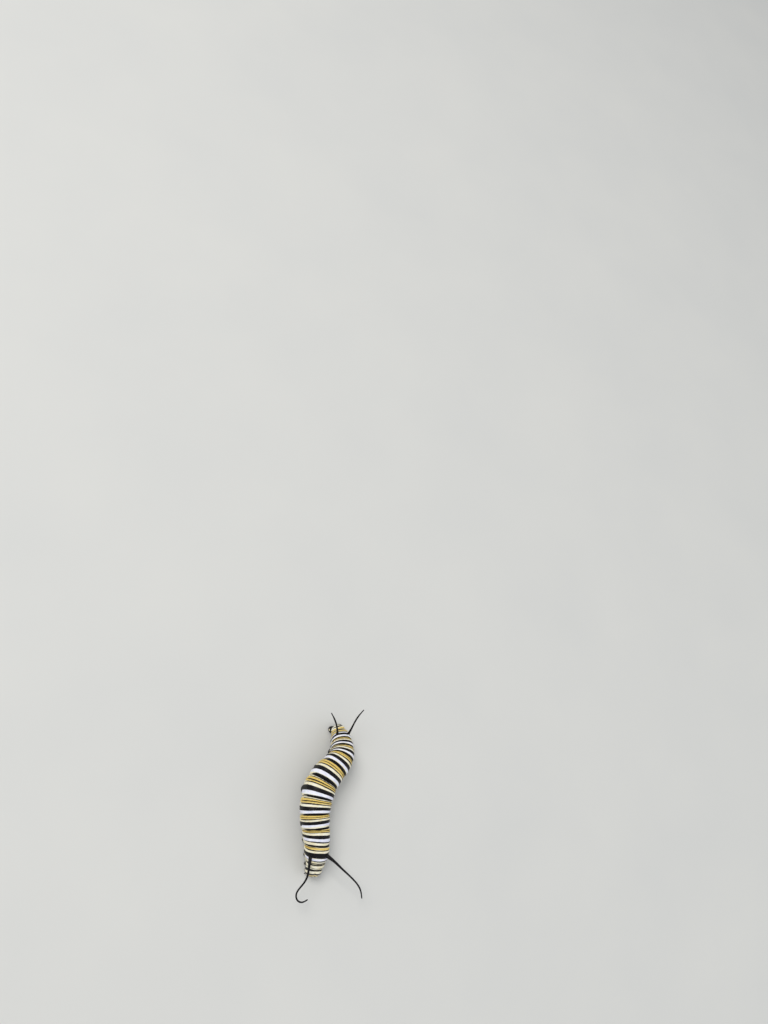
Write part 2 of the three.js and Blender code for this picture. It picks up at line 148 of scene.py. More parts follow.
def fullness(station):
    """How full the body is at a station: 1 in a segment, less at a fold, and round at the tail."""
    share = station - np.floor(station)
    full = 1 - FOLD_DEPTH * (1 - 4 * share * (1 - share)) ** 3
    front = FRONT_RIM_SHARE + (1 - FRONT_RIM_SHARE) * np.sin(np.clip(station, 0, 0.5) * np.pi)
    t = np.clip((station - TAIL_START) / (LAST + 1 - TAIL_START), 0, 1)
    tail = TAIL_END_SHARE + (1 - TAIL_END_SHARE) * np.sqrt(1 - t * t)
    return np.where(station < 0.5, front, np.where(station > TAIL_START, tail, full))


def section_at(station, angle):
    half = between(HALF_WIDTHS, station) * fullness(station)
    across = half * (1 + FLANK.swell * bump(np.abs(angle) - FLANK.angle, FLANK.spread))
    return across, half * np.where(np.abs(angle) < FLANK_ANGLE, DORSAL_SHARE, VENTRAL_SHARE)


def power(value, exponent):
    return np.sign(value) * np.abs(value) ** exponent


def skin_point(station, angle):
    """Point on the skin. The angle is 0 on the midline of the back and grows towards the left."""
    station, angle = np.broadcast_arrays(np.asarray(station, float), np.asarray(angle, float))
    centre, _, left, up = frame_at(station)
    across, tall = section_at(station, angle)
    a = np.radians(angle)
    x = across * power(np.sin(a), 2 / SQUARENESS)
    z = tall * power(np.cos(a), 2 / SQUARENESS)
    return centre + left * x[..., None] + up * z[..., None]


NEARBY = Form(station=0.02, angle=2)


def skin_normal(station, angle):
    ahead, aside = NEARBY.station, NEARBY.angle
    along = skin_point(station + ahead, angle) - skin_point(station - ahead, angle)
    around = skin_point(station, angle + aside) - skin_point(station, angle - aside)
    return unit(np.cross(around, along))


CHUNK = 20000
LOCATE_ROUNDS = 6
LOCATE_STEP = 0.02
LEAST_SLOPE = 0.2
TINY = 1e-6


def nearest_of(points, samples):
    """For each point, which sample is nearest."""
    found = np.empty(len(points), int)
    for i in range(0, len(points), CHUNK):
        some = points[i : i + CHUNK]
        apart = -2 * some @ samples.T + (samples**2).sum(1)
        found[i : i + CHUNK] = apart.argmin(1)
    return found


def locate(points):
    """Station and angle of points, their height over the skin, and their place on it."""
    station = nearest_of(points, AXIS) / STEPS
    for _ in range(LOCATE_ROUNDS):
        centre, rear, _, _ = frame_at(station)
        beyond, beyond_rear, _, _ = frame_at(station + LOCATE_STEP)
        off = dot(points - centre, rear)
        slope = (off - dot(points - beyond, beyond_rear)) / LOCATE_STEP
        length = LENGTHS[np.clip(station.astype(int), 0, LAST)]
        move = np.clip(off / np.maximum(slope, length * LEAST_SLOPE), -0.5, 0.5)
        station = np.clip(station + move, 0, LAST + 1)
    centre, rear, left, up = frame_at(station)
    x, z = dot(points - centre, left), dot(points - centre, up)
    angle = np.degrees(np.arctan2(x, z))
    across, tall = section_at(station, angle)
    reach = (np.abs(x / across) ** SQUARENESS + np.abs(z / tall) ** SQUARENESS) ** (1 / SQUARENESS)
    reach = np.maximum(reach, TINY)
    flat = left * x[:, None] + up * z[:, None]
    on_skin = points - flat * (1 - 1 / reach)[:, None]
    return station, angle, np.hypot(x, z) * (1 - 1 / reach), on_skin


# Meshes


class Shape:
    """Corners in millimetres and faces, which grow piece by piece."""

    def __init__(self):
        self.corners, self.faces, self.marks, self.count = [], [], [], 0

    def add(self, corners, faces, mark=0.0):
        corners = np.asarray(corners, float).reshape(-1, 3)
        self.faces += [tuple(int(c) + self.count for c in face) for face in faces]
        self.corners.append(corners)
        self.marks.append(np.broadcast_to(np.asarray(mark, float), (len(corners),)))
        self.count += len(corners)
        return self

    def points(self):
        return np.vstack(self.corners)


def tube(rings):
    """A closed tube through rings of points, n rings of m points, with a point in each end."""
    n, m, _ = rings.shape
    corners = np.vstack([rings.reshape(-1, 3), rings[0].mean(0), rings[-1].mean(0)])
    pairs = [(j, (j + 1) % m) for j in range(m)]
    last = (n - 1) * m
    faces = [(i + j, i + k, i + m + k, i + m + j) for i in range(0, last, m) for j, k in pairs]
    for j, k in pairs:
        faces += [(n * m, k, j), (n * m + 1, last + j, last + k)]
    return corners, faces


def ball(columns, rows):
    """Directions over a sphere and the faces between them, with y the pole."""
    rise = np.linspace(-np.pi / 2, np.pi / 2, rows + 1)[1:-1, None]
    turn = np.arange(columns) * 2 * np.pi / columns
    flat = np.cos(rise)
    corners, faces = tube(np.stack([flat * np.sin(turn), np.sin(rise) + 0 * turn, flat * np.cos(turn)], -1))
    corners[-2], corners[-1] = (0, -1, 0), (0, 1, 0)
    return corners, faces


def new_mesh(name, corners, faces):
    mesh = bpy.data.meshes.new(name)
    mesh.from_pydata(np.asarray(corners).tolist(), [], [list(map(int, f)) for f in faces])
    mesh.validate()
    mesh.update()
    return mesh


def read(collection, name, width, kind=np.float64):
    found = np.empty(len(collection) * width, kind)
    collection.foreach_get(name, found)
    return found.reshape(-1, width) if width > 1 else found


def placed(name, data):
    """A new object in the scene."""
    made = bpy.data.objects.new(name, data)
    bpy.context.scene.collection.objects.link(made)
    return made


def fused(corners, faces, voxel):
    """One closed surface round overlapping shells, as corners, four-cornered faces and edges."""
    holder = placed("shell", new_mesh("shell", corners, faces))
    remesh = holder.modifiers.new("remesh", "REMESH")
    remesh.mode = "VOXEL"
    remesh.voxel_size = voxel
    made = bpy.data.meshes.new_from_object(holder.evaluated_get(bpy.context.evaluated_depsgraph_get()))
    points = read(made.vertices, "co", 3)
    quads = read(made.loops, "vertex_index", 1, np.int32).reshape(-1, 4)
    edges = read(made.edges, "vertices", 2, np.int32)
    shell = holder.data
    bpy.data.objects.remove(holder)
    bpy.data.meshes.remove(shell)
    bpy.data.meshes.remove(made)
    return points, quads, edges


def relaxed(corners, edges, rounds, shrink=0.5, swell=-0.52):
    """Corners moved towards their neighbours and back, which takes steps out and keeps the size."""
    a, b = edges.T
    size = len(corners)

    def over_neighbours(values):
        return np.bincount(a, values[b], size) + np.bincount(b, values[a], size)

    count = over_neighbours(np.ones(size))[:, None]
    for _ in range(rounds):
        for pull in (shrink, swell):
            total = np.stack([over_neighbours(corners[:, k]) for k in range(3)], 1)
            corners = corners + pull * (total / count - corners)
    return corners


def normals_of(corners, faces):
    mesh = new_mesh("normals", corners, faces)
    found = read(mesh.vertex_normals, "vector", 3)
    bpy.data.meshes.remove(mesh)
    return found


def piece(name, corners, faces, material, replaced=(), fields=None):
    """A finished piece of the larva, which rides on its one body."""
    mesh = new_mesh(name, np.asarray(corners) * MM, faces)
    mesh.shade_smooth()
    mesh.materials.append(material)
    for field, values in (fields or {}).items():
        attribute = mesh.attributes.new(field, "FLOAT", "POINT")
        attribute.data.foreach_set("value", np.asarray(values, np.float32))
    made = placed(name, mesh)
    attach(made, "root")
    if replaced:
        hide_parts(*replaced)
    return made


def horn_piece(name, shape, material, replaced=(), least=0.0):
    """A piece of hard cuticle, kept over a least height, whose marks say how pale it is."""
    corners = shape.points()
    corners[:, 2] = np.maximum(corners[:, 2], least)
    fields = {"pale": np.concatenate(shape.marks)}
    piece(name, corners, shape.faces, material, replaced, fields)


# Limbs

CURVE_STEPS = 60


def curve_through(points, count=160):
    """Points spaced evenly along a smooth curve through points, with its directions."""
    p = np.asarray(points, float)
    p = np.vstack([2 * p[0] - p[1], p, 2 * p[-1] - p[-2]])
    pieces = []
    for a, b, c, d in zip(p[:-3], p[1:-2], p[2:-1], p[3:]):
        ab, bc, cd = (math.sqrt(np.linalg.norm(v)) for v in (b - a, c - b, d - c))
        leave = ((b - a) / ab - (c - a) / (ab + bc) + (c - b) / bc) * bc
        arrive = ((c - b) / bc - (d - b) / (bc + cd) + (d - c) / cd) * bc
        t = np.linspace(0, 1, CURVE_STEPS, endpoint=False)[:, None]
        square, cube = 3 * (c - b) - 2 * leave - arrive, 2 * (b - c) + leave + arrive
        pieces.append(b + leave * t + square * t**2 + cube * t**3)
    fine = np.vstack(pieces + [p[-2:-1]])
    run = np.concatenate([[0], np.cumsum(np.linalg.norm(np.diff(fine, axis=0), axis=1))])
    at = np.linspace(0, run[-1], count)
    line = np.stack([np.interp(at, run, fine[:, k]) for k in range(3)], 1)
    return line, unit(np.gradient(line, axis=0))


class Limb:
    """A limb along a curve: its line, its directions and its radius at each point of the line."""

    def __init__(self, points, radii, keep, broad=1.0, count=160):
        self.line, self.along = curve_through(points, count)
        self.share = np.linspace(0, 1, count)
        self.radius = between(radii, self.share * (len(radii) - 1) + 0.5)
        keep = np.asarray(keep, float)
        self.side = unit(keep - self.along * dot(self.along, keep)[:, None])
        self.front = np.cross(self.side, self.along)
        self.broad = broad

    def rings(self, sides=24, scale=1.0):
        turn = np.arange(sides) * 2 * np.pi / sides
        radius = (self.radius * scale)[:, None, None]
        across = self.side[:, None] * np.sin(turn)[:, None] * radius * self.broad
        return self.line[:, None] + across + self.front[:, None] * np.cos(turn)[:, None] * radius


FRONT_TENTACLE = {"station": 1.43, "pieces": 3, "radii": [0.42, 0.34, 0.29, 0.27, 0.25, 0.25, 0.25, 0.14]}
REAR_TENTACLE = {"station": 10.5, "pieces": 2, "length": 6.6, "radii": [0.36, 0.28, 0.25, 0.25, 0.14]}
TENTACLES = {
    "tentacle_front_left": {
        **FRONT_TENTACLE,
        "angle": 46,
        "length": 11.4,
        "headings": [128, 130, 130, 128, 130, 134, 148, 172],
        "pitches": [20, -4, -8, -10, -10, -9, -7, -5],
    },
    "tentacle_front_right": {
        **FRONT_TENTACLE,
        "angle": -46,
        "length": 10.8,
        "headings": [196, 187, 190, 208, 222, 214, 168, 112, 66],
        "pitches": [20, -4, -8, -11, -12, -12, -9, -7, -5],
    },
    "tentacle_rear_left": {
        **REAR_TENTACLE,
        "angle": 34,
        "headings": [14, 15, 20, 30, 38],
        "pitches": [56, 44, 38, 34, 34],
    },
    "tentacle_rear_right": {
        **REAR_TENTACLE,
        "angle": -34,
        "headings": [-30, -31, -35, -42, -46],
        "pitches": [56, 46, 42, 38, 36],
    },
}
ROOT_DEPTH = 0.8
TENTACLE_TAPER = [(0, 1.05), (0.08, 1.0), (0.2, 0.84), (0.4, 0.73), (0.7, 0.66), (0.9, 0.64), (1.0, 0.85)]
TIP_LENGTH = 0.16
TIP_LEAST = 0.1
UP = (0, 0, 1)


def tentacle(spec):
    station, angle = spec["station"], spec["angle"]
    surface = skin_point(station, angle)
    lengths = [spec["length"] / len(spec["headings"])] * len(spec["headings"])
    outside = walk(surface, lengths, spec["headings"], spec["pitches"])[STEPS // 2 :: STEPS // 2]
    root = surface - skin_normal(station, angle) * ROOT_DEPTH
    limb = Limb([root, surface, *outside], spec["radii"], UP, count=320)
    limb.radius = limb.radius * np.interp(limb.share, *zip(*TENTACLE_TAPER))
    to_tip = np.linalg.norm(np.diff(limb.line, axis=0), axis=1).sum() * (1 - limb.share)
    limb.radius = limb.radius * np.sqrt(1 - (1 - np.clip(to_tip / TIP_LENGTH, TIP_LEAST, 1)) ** 2)
    return limb


PROLEG = Form(angle=150, hip=0.6, foot=1.55, back=0.0, knee=0.5, ankle=0.35, broad=1.12)
PROLEG_RADII = [1.15, 1.1, 0.92, 0.74, 0.7, 0.8, 0.72]
CLASPER = Form(angle=138, hip=0.35, foot=0.95, back=0.5, knee=0.55, ankle=0.2, broad=1.15)
CLASPER_RADII = [0.5, 0.56, 0.62, 0.6, 0.56, 0.6, 0.54]
PROLEG_STATIONS = (5.5, 6.5, 7.4, 8.7)
PROLEG_HALF_WIDTH = 3
CLASPER_STATION = LAST + 0.35


def floor_frame(station, side):
    """Towards the head on the floor, and a place from across, ahead and height at a station."""
    centre, rear, left, _ = frame_at(station)
    ahead = unit(-rear * (1, 1, 0))

    def at(across, forward, height):
        spot = centre + left * side * across + ahead * forward
        return np.array([spot[0], spot[1], height])

    return ahead, at


def under_skin(station, angle, share):
    centre = frame_at(station)[0]
    return centre + (skin_point(station, angle) - centre) * share


def proleg(form, radii, station, size, side):
    ahead, at = floor_frame(station, side)
    hip = under_skin(station, side * form.angle, form.hip)
    heights = (hip[2] * form.knee, form.ankle, 0)
    points = [hip] + [at(form.foot * size, -form.back, z) for z in heights]
    return Limb(points, np.array(radii) * size, ahead, form.broad)


def all_prolegs():
    """Each proleg with its name, side, size, station and limb, and last on each side its clasper."""
    found = []
    for side in (LEFT, RIGHT):
        name = f"proleg_{SIDE_WORDS[side]}"
        for station in PROLEG_STATIONS:
            index = int(station)
            size = HALF_WIDTHS[index] / PROLEG_HALF_WIDTH
            limb = proleg(PROLEG, PROLEG_RADII, station, size, side)
            found.append((f"{name}_{index - 2}", side, size, station, limb))
        limb = proleg(CLASPER, CLASPER_RADII, CLASPER_STATION, 1, side)
        found.append((f"{name}_anal", side, 1, CLASPER_STATION, limb))
    return found


prolegs = all_prolegs()
tentacles = {name: tentacle(spec) for name, spec in TENTACLES.items()}


# Materials


class Finish:
    """A material whose nodes are added one by one."""

    def __init__(self, name):
        self.material = bpy.data.materials.new(name)
        self.material.use_nodes = True
        self.tree = self.material.node_tree
        self.shader = self.tree.nodes["Principled BSDF"]

    def feed(self, sockets, inputs):
        """Sets sockets, each to a value or to another node's output."""
        for key, value in inputs.items():
            if isinstance(value, bpy.types.NodeSocket):
                self.tree.links.new(value, sockets[key])
            else:
                sockets[key].default_value = value

    def put(self, inputs):
        self.feed(self.shader.inputs, inputs)

    def node(self, kind, inputs, **settings):
        made = self.tree.nodes.new(kind)
        for name, value in settings.items():
            setattr(made, name, value)
        self.feed(made.inputs, inputs)
        return made

    def field(self, name):
        return self.node("ShaderNodeAttribute", {}, attribute_name=name).outputs["Fac"]

    def noise(self, size, detail=2.0):
        """Cloudy noise with patches of about a size in millimetres."""
        place = self.node("ShaderNodeTexCoord", {}).outputs["Object"]
        inputs = {"Vector": place, "Scale": 1 / (size * MM), "Detail": detail, "Roughness": 0.5}
        return self.node("ShaderNodeTexNoise", inputs).outputs["Fac"]

    def math(self, operation, a, b):
        return self.node("ShaderNodeMath", {0: a, 1: b}, operation=operation).outputs[0]

    def ramp(self, value, low, high, out_low=0.0, out_high=1.0):
        inputs = {"Value": value, "From Min": low, "From Max": high, "To Min": out_low, "To Max": out_high}
        return self.node("ShaderNodeMapRange", inputs, interpolation_type="SMOOTHSTEP").outputs["Result"]

    def mix(self, share, a, b):
        return self.node("ShaderNodeMix", {0: share, 6: a, 7: b}, data_type="RGBA").outputs[2]

    def tones(self, value, shown, pair):
        """One tone of a pair giving way to the other over a part of a value's range."""
        return self.mix(self.ramp(value, *shown), *pair)

    def gloss(self, size, detail, smooth, rough):
        """Roughness that changes between two values in patches of about a size."""
        self.put({"Roughness": self.ramp(self.noise(size, detail), *GLOSS_RANGE, smooth, rough)})

    def coat(self, weight, roughness):
        self.put({"Coat Weight": weight, "Coat Roughness": roughness})

    def bumped(self, height, depth, strength):
        """Relief of a depth in millimetres on the shader's normal."""
        inputs = {"Height": height, "Distance": depth * MM, "Strength": strength}
        self.put({"Normal": self.node("ShaderNodeBump", inputs).outputs["Normal"]})


def colour(*shown):
    """A colour given as a screen shows it, from 0 to 255."""
    light = [((c / 255 + 0.055) / 1.055) ** 2.4 if c > 10 else c / 255 / 12.92 for c in shown]
    return (*light, 1)


# Each look runs between two tones
CREAM = colour(243, 238, 217), colour(232, 221, 184)
BLUE_WHITE = colour(242, 242, 250), colour(218, 220, 238)
YELLOW = colour(232, 207, 122), colour(214, 176, 86)
BLACK = colour(8, 8, 12), colour(20, 16, 14)
EYE_BLACK = colour(12, 11, 14), colour(36, 28, 26)
BRISTLE_BROWN = colour(40, 34, 32), colour(92, 82, 72)
FLOOR_GREY = colour(214, 213, 208), colour(206, 206, 203)
FOLD_SHADE = colour(104, 92, 52)
SOFT_JOINT = colour(176, 166, 138)

# Kinds of hard cuticle: two tones, the lowest roughness and the weight of the coat
HORNS = {
    "black_horn": (colour(12, 11, 13), colour(34, 25, 20), 0.22, 0.3),
    "jaw_horn": (colour(34, 22, 18), colour(86, 50, 30), 0.2, 0.3),
    "hook_horn": (colour(74, 46, 24), colour(120, 80, 42), 0.3, 0.3),
    "spiracle_horn": (colour(7, 7, 9), colour(16, 13, 12), 0.5, 0.04),
}
HORN_SPREAD = 0.14

# How far a band's edge wanders and how soft it is, in millimetres
EDGE_WANDER = 0.04
HEAD_EDGE_WANDER = 0.035
EDGE_SOFTNESS = {"band_black": 0.022, "band_white": 0.05, "band_yellow": 0.06}
FOLD_DARKNESS = 0.6

# The part of a noise's range over which one colour gives way to the next
CLOUD_RANGE = (0.35, 0.7)
FLECK_RANGE = (0.3, 0.75)
BLACK_RANGE = (0.35, 0.8)
HORN_RANGE = (0.4, 0.8)
EYE_RANGE = (0.3, 0.8)
HAIR_RANGE = (0.3, 0.7)
GLOSS_RANGE = (0.2, 0.8)


def banded(finish, edge_wander):
    """The larva's colours from the fields that hold each marking's distance inside its border."""
    cloud = finish.noise(size=0.5, detail=4.0)
    wander = finish.math("MULTIPLY", finish.math("SUBTRACT", cloud, 0.5), edge_wander * 2)

    def inside(name):
        softness = EDGE_SOFTNESS[name]
        return finish.ramp(finish.math("ADD", finish.field(name), wander), -softness, softness)

    cloud = finish.noise(size=1.1, detail=3.0)
    fleck = finish.noise(size=0.16)
    cream = finish.tones(cloud, CLOUD_RANGE, CREAM)
    white = finish.tones(cloud, CLOUD_RANGE, BLUE_WHITE)
    skin = finish.mix(inside("band_white"), cream, white)
    skin = finish.mix(inside("band_yellow"), skin, finish.tones(fleck, FLECK_RANGE, YELLOW))
    skin = finish.mix(finish.ramp(finish.field("fold"), 0.0, 1.0, 0.0, FOLD_DARKNESS), skin, FOLD_SHADE)
    dark = inside("band_black")
    finish.put({"Base Color": finish.mix(dark, skin, finish.tones(fleck, BLACK_RANGE, BLACK))})
    return dark


def skin_material():
    """Soft skin, smoother where it is black, with light that goes a little way in."""
    finish = Finish("larva_skin")
    dark = banded(finish, EDGE_WANDER)
    rough = finish.ramp(finish.noise(size=0.4, detail=3.0), *GLOSS_RANGE, out_low=0.42, out_high=0.55)
    finish.put({"Roughness": finish.math("SUBTRACT", rough, finish.math("MULTIPLY", dark, 0.06))})
    finish.put({"Subsurface Weight": 0.06, "Subsurface Radius": (0.6, 0.4, 0.25), "Subsurface Scale": 0.0003})
    finish.put({"Specular IOR Level": 0.18})
    fine, coarse = finish.noise(size=0.05), finish.noise(size=0.22, detail=3.0)
    height = finish.math("ADD", finish.math("MULTIPLY", coarse, 0.6), fine)
    finish.bumped(height, depth=0.011, strength=0.7)
    return finish.material


def head_material():
    finish = Finish("head_capsule")
    banded(finish, HEAD_EDGE_WANDER)
    finish.gloss(size=0.3, detail=3.0, smooth=0.26, rough=0.4)
    finish.put({"Specular IOR Level": 0.4})
    finish.coat(weight=0.12, roughness=0.2)
    finish.bumped(finish.noise(size=0.07), depth=0.01, strength=0.7)
    return finish.material


def horn_material(name):
    """Hard glossy cuticle, paler where its field says so."""
    finish = Finish(name)
    dark, light, smooth, coat = HORNS[name]
    base = finish.tones(finish.noise(size=0.25, detail=3.0), HORN_RANGE, (dark, light))
    pale = finish.ramp(finish.field("pale"), 0.0, 1.0)
    finish.put({"Base Color": finish.mix(pale, base, SOFT_JOINT)})
    finish.gloss(size=0.12, detail=2.0, smooth=smooth, rough=smooth + HORN_SPREAD)
    finish.coat(weight=coat, roughness=0.12)
    finish.bumped(finish.noise(size=0.05), depth=0.008, strength=0.6)
    return finish.material


def eye_material():
    finish = Finish("eye_lens")
    finish.put({"Base Color": finish.tones(finish.noise(size=0.1), EYE_RANGE, EYE_BLACK), "Roughness": 0.07})
    finish.coat(weight=1.0, roughness=0.03)
    return finish.material


def bristle_material():
    finish = Finish("bristles")
    finish.put({"Base Color": finish.tones(finish.noise(size=0.3), HAIR_RANGE, BRISTLE_BROWN)})
    finish.gloss(size=0.08, detail=2.0, smooth=0.35, rough=0.5)
    return finish.material


# Markings of the body. Each band runs across the back. Its front and rear edges are shares of its
# segment, each at the midline and on the flank, and it ends in a point at its reach, an angle round
# the body. A full band has no end.

FULL = 200
ABDOMEN_BANDS = [
    ("black", (-0.055, 0.02), (0.105, 0.085), 88),
    ("white", (0.105, 0.09), (0.27, 0.27), 120),
    ("black", (0.26, 0.265), (0.475, 0.49), FULL),
    ("black", (0.59, 0.61), (0.66, 0.665), 104),
    ("yellow", (0.66, 0.67), (0.88, 0.93), 122),
    ("black", (0.735, 0.755), (0.778, 0.798), 92),
    ("black", (0.868, 0.89), (0.915, 0.935), 80),
]
REAR_BANDS = [
    ("black", (-0.06, 0.01), (0.135, 0.1), 100),
    ("white", (0.135, 0.1), (0.28, 0.28), 120),
    ("black", (0.275, 0.28), (0.52, 0.52), FULL),
    ("black", (0.64, 0.65), (0.715, 0.71), 102),
    ("yellow", (0.715, 0.7), (0.9, 0.93), 120),
    ("black", (0.8, 0.81), (0.84, 0.845), 88),
]


def moved(bands, by, front_stripe=None):
    """Bands set back by a share of their segment, with the front stripe left or set in its place."""
    front, *rest = bands
    back = [(kind, (a + by, b + by), (c + by, d + by), reach) for kind, (a, b), (c, d), reach in rest]
    return [front_stripe or front] + back


THORAX_1_BANDS = [
    ("black", (-0.4, -0.4), (0.2, 0.1), 74),
    ("black", (0.36, 0.4), (0.45, 0.47), 70),
    ("black", (0.77, 0.8), (0.95, 0.93), 104),
]
THORAX_2_BANDS = [
    ("black", (-0.02, -0.02), (0.045, 0.04), 104),
    ("black", (0.15, 0.16), (0.2, 0.2), 96),
    ("white", (0.2, 0.19), (0.34, 0.33), 104),
    ("black", (0.335, 0.33), (0.66, 0.64), FULL),
    ("black", (0.775, 0.79), (0.83, 0.825), 98),
    ("yellow", (0.83, 0.82), (0.95, 0.96), 122),
]
THORAX_3_BANDS = [
    ("black", (-0.04, -0.02), (0.09, 0.07), 100),
    ("black", (0.22, 0.235), (0.29, 0.28), 98),
    ("white", (0.29, 0.28), (0.45, 0.45), 108),
    ("black", (0.45, 0.45), (0.645, 0.65), FULL),
    ("black", (0.775, 0.785), (0.83, 0.825), 98),
    ("yellow", (0.83, 0.82), (0.97, 0.975), 122),
    ("black", (0.885, 0.89), (0.925, 0.925), 70),
]
ABDOMEN_8_BANDS = [
    ("black", (-0.03, 0.03), (0.1, 0.08), 98),
    ("white", (0.15, 0.12), (0.34, 0.34), 110),
    ("black", (0.34, 0.34), (0.66, 0.64), FULL),
    ("white", (0.66, 0.64), (0.8, 0.8), 108),
    ("black", (0.82, 0.84), (0.92, 0.89), 92),
]
ABDOMEN_9_BANDS = [
    ("yellow", (0.05, 0.05), (0.5, 0.5), 118),
    ("black", (0.56, 0.66), (1.1, 1.0), 92),
]
ABDOMEN_10_BANDS = [
    ("yellow", (0.12, 0.1), (0.34, 0.42), 112),
    ("black", (0.5, 0.62), (0.72, 0.68), 66),
]
BANDS = [
    THORAX_1_BANDS,
    THORAX_2_BANDS,
    THORAX_3_BANDS,
    moved(ABDOMEN_BANDS, 0.1),
    ABDOMEN_BANDS,
    ABDOMEN_BANDS,
    moved(ABDOMEN_BANDS, 0.05, ("black", (-0.08, 0.0), (0.125, 0.1), 82)),
    *[moved(REAR_BANDS, 0.05)] * 3,
    ABDOMEN_8_BANDS,
    ABDOMEN_9_BANDS,
    ABDOMEN_10_BANDS,
]

# How far each segment's bands lean where the body bends, in shares of the segment
BAND_LEAN = [0, -0.04, -0.15, -0.04, 0.06, -0.04, 0.12, 0.08, -0.06, 0, 0, 0, 0]

# The bands' edges wander a little from one segment and side to the next
EDGE_SHIFT = 0.008
WAVES = ((1.1, 0.006), (2.3, 0.005), (4.1, 0.003))

# Degrees over which a band narrows and over which its tip is rounded, its least half width and
# the width of a degree round the body in millimetres, and how far inside or outside counts
BAND_TAPER = 28
BAND_TIP = 9
LEAST_HALF = 0.05
DEGREE = 0.05
FAR = 1.0


def wavering(draw, angle):
    """A small shift of a band's edge that changes slowly round the body."""
    shift = draw.uniform(-EDGE_SHIFT, EDGE_SHIFT)
    for turns, height in WAVES:
        shift = shift + height * np.sin(np.radians(angle) * turns + draw.uniform(0, 2 * np.pi))
    return shift


def band_distance(station, angle, index, band, draw):
    """How far inside a band each point is, in millimetres."""
    _, start, end, reach = band
    low = np.abs(angle) / FLANK_ANGLE
    first = index + start[0] + (start[1] - start[0]) * low + wavering(draw, angle)
    last = index + end[0] + (end[1] - end[0]) * low + wavering(draw, angle)
    lean = between(BAND_LEAN, station) * np.sin(np.radians(angle))
    first, last = first + lean, last + lean
    length = LENGTHS[index]
    middle, half = (first + last) / 2, (last - first) / 2
    to_end = reach - np.abs(angle)
    point = np.sqrt(np.clip(to_end / BAND_TAPER, 0, 1))
    blunt = np.sqrt(np.clip(to_end / BAND_TIP, 0, 1)) * LEAST_HALF
    across = np.maximum(half * point * length, blunt) - np.abs(station - middle) * length
    return np.minimum(across, to_end * DEGREE)


# Angle from which the belly is black: it waves with each segment and rises towards the tail
BELLY = Form(edge=124, wave=8, rise=10, rise_from=11, rise_to=12.5)

# Height over the skin from which a limb is black, and the wavy hem of the tail's black underside,
# in millimetres over the floor from a station on
LIMB_EDGE = 0.09
TAIL_HEM = Form(start=12.15, height=1.02, wave=0.05, turns=4.2)

# The shade in a fold: its width and the greatest height over the skin where it shows, in
# millimetres, and the stations over which it comes in behind the head and fades at the tail
FOLD = Form(width=0.09, height=0.1, front=(0.3, 0.8), tail=(12.9, 12.6))

# Pale patches: a big one on the outer face of each proleg and a small one over each leg. Their
# half sizes are along the body and upright, and the first stands at a share of the proleg's line.
PROLEG_PATCH = Form(share=0.5, half=(0.4, 0.56))
CLASPER_PATCH = Form(share=0.62, half=(0.26, 0.2))
LEG_PATCH = Form(stations=(1.5, 2.5), angle=131, half=(0.5, 0.26))
PATCH_WAVES = ((2, 0.1), (3, 0.08), (5, 0.04))


def patch_distance(points, centre, along, half, draw):
    """How far inside a patch with a wavy outline each point is."""
    offset = points - centre
    run = dot(offset, along)
    rest = offset - run[:, None] * along
    rise = rest[:, 2]
    turn = np.arctan2(rise / half[1], run / half[0])
    size = np.hypot(run / half[0], np.linalg.norm(rest, axis=1) / half[1])
    for turns, height in PATCH_WAVES:
        size = size * (1 + height * np.sin(turn * turns + draw.uniform(0, 2 * np.pi)))
    return (1 - size) * min(half)


def patches_on(points):
    """How far inside a pale patch each point is."""
    patches = []
    for _, side, size, station, leg in prolegs:
        patch = PROLEG_PATCH if station < LAST else CLASPER_PATCH
        _, rear, left, _ = frame_at(station)
        at = int(len(leg.line) * patch.share)
        outward = leg.front[at] * math.copysign(1, dot(leg.front[at], left * side))
        patches.append((leg.line[at] + outward * leg.radius[at], rear, np.array(patch.half) * size))
    for station in LEG_PATCH.stations:
        for side in (LEFT, RIGHT):
            base = skin_point(station, side * LEG_PATCH.angle)
            patches.append((base, frame_at(station)[1], LEG_PATCH.half))
    draw = np.random.default_rng(SEED + 3)
    return np.max([patch_distance(points, *patch, draw) for patch in patches], 0)


def colour_fields(black, white, yellow, fold):
    """The fields that the banded materials read."""
    bands = {"band_black": black, "band_white": white, "band_yellow": yellow}
    return {**{name: np.clip(inside, -FAR, FAR) for name, inside in bands.items()}, "fold": fold}


def markings(points, station, angle, height):
    """The fields of the skin: distance inside each colour's border, and how deep in a fold."""
    draw = np.random.default_rng(SEED)
    fields = {kind: np.full(len(points), -FAR) for kind in ("black", "white", "yellow")}
    for index, bands in enumerate(BANDS):
        for band in bands:
            inside = band_distance(station, angle, index, band, draw)
            fields[band[0]] = np.maximum(fields[band[0]], inside)
    share = station - np.floor(station)
    rise = BELLY.rise * smoothstep(BELLY.rise_from, BELLY.rise_to, station)
    belly = BELLY.edge + BELLY.wave * np.cos(2 * np.pi * share) - rise
    black = np.maximum(fields["black"], (np.abs(angle) - belly) * DEGREE)
    black = np.maximum(black, np.minimum(height - LIMB_EDGE, FAR))
    hem = TAIL_HEM.height + TAIL_HEM.wave * np.sin(points[:, 0] * TAIL_HEM.turns) - points[:, 2]
    black = np.where(station > TAIL_HEM.start, np.maximum(black, hem), black)
    black = np.minimum(black, -patches_on(points))
    border = np.abs(station - np.round(station)) * LENGTHS[np.clip(station.astype(int), 0, LAST)]
    shown = smoothstep(*FOLD.front, station) * smoothstep(*FOLD.tail, station)
    fold = bump(border, FOLD.width) * shown * (height < FOLD.height)
    return colour_fields(black, fields["white"], fields["yellow"], fold)


# The skin: body, prolegs and tentacles in one surface with no seam

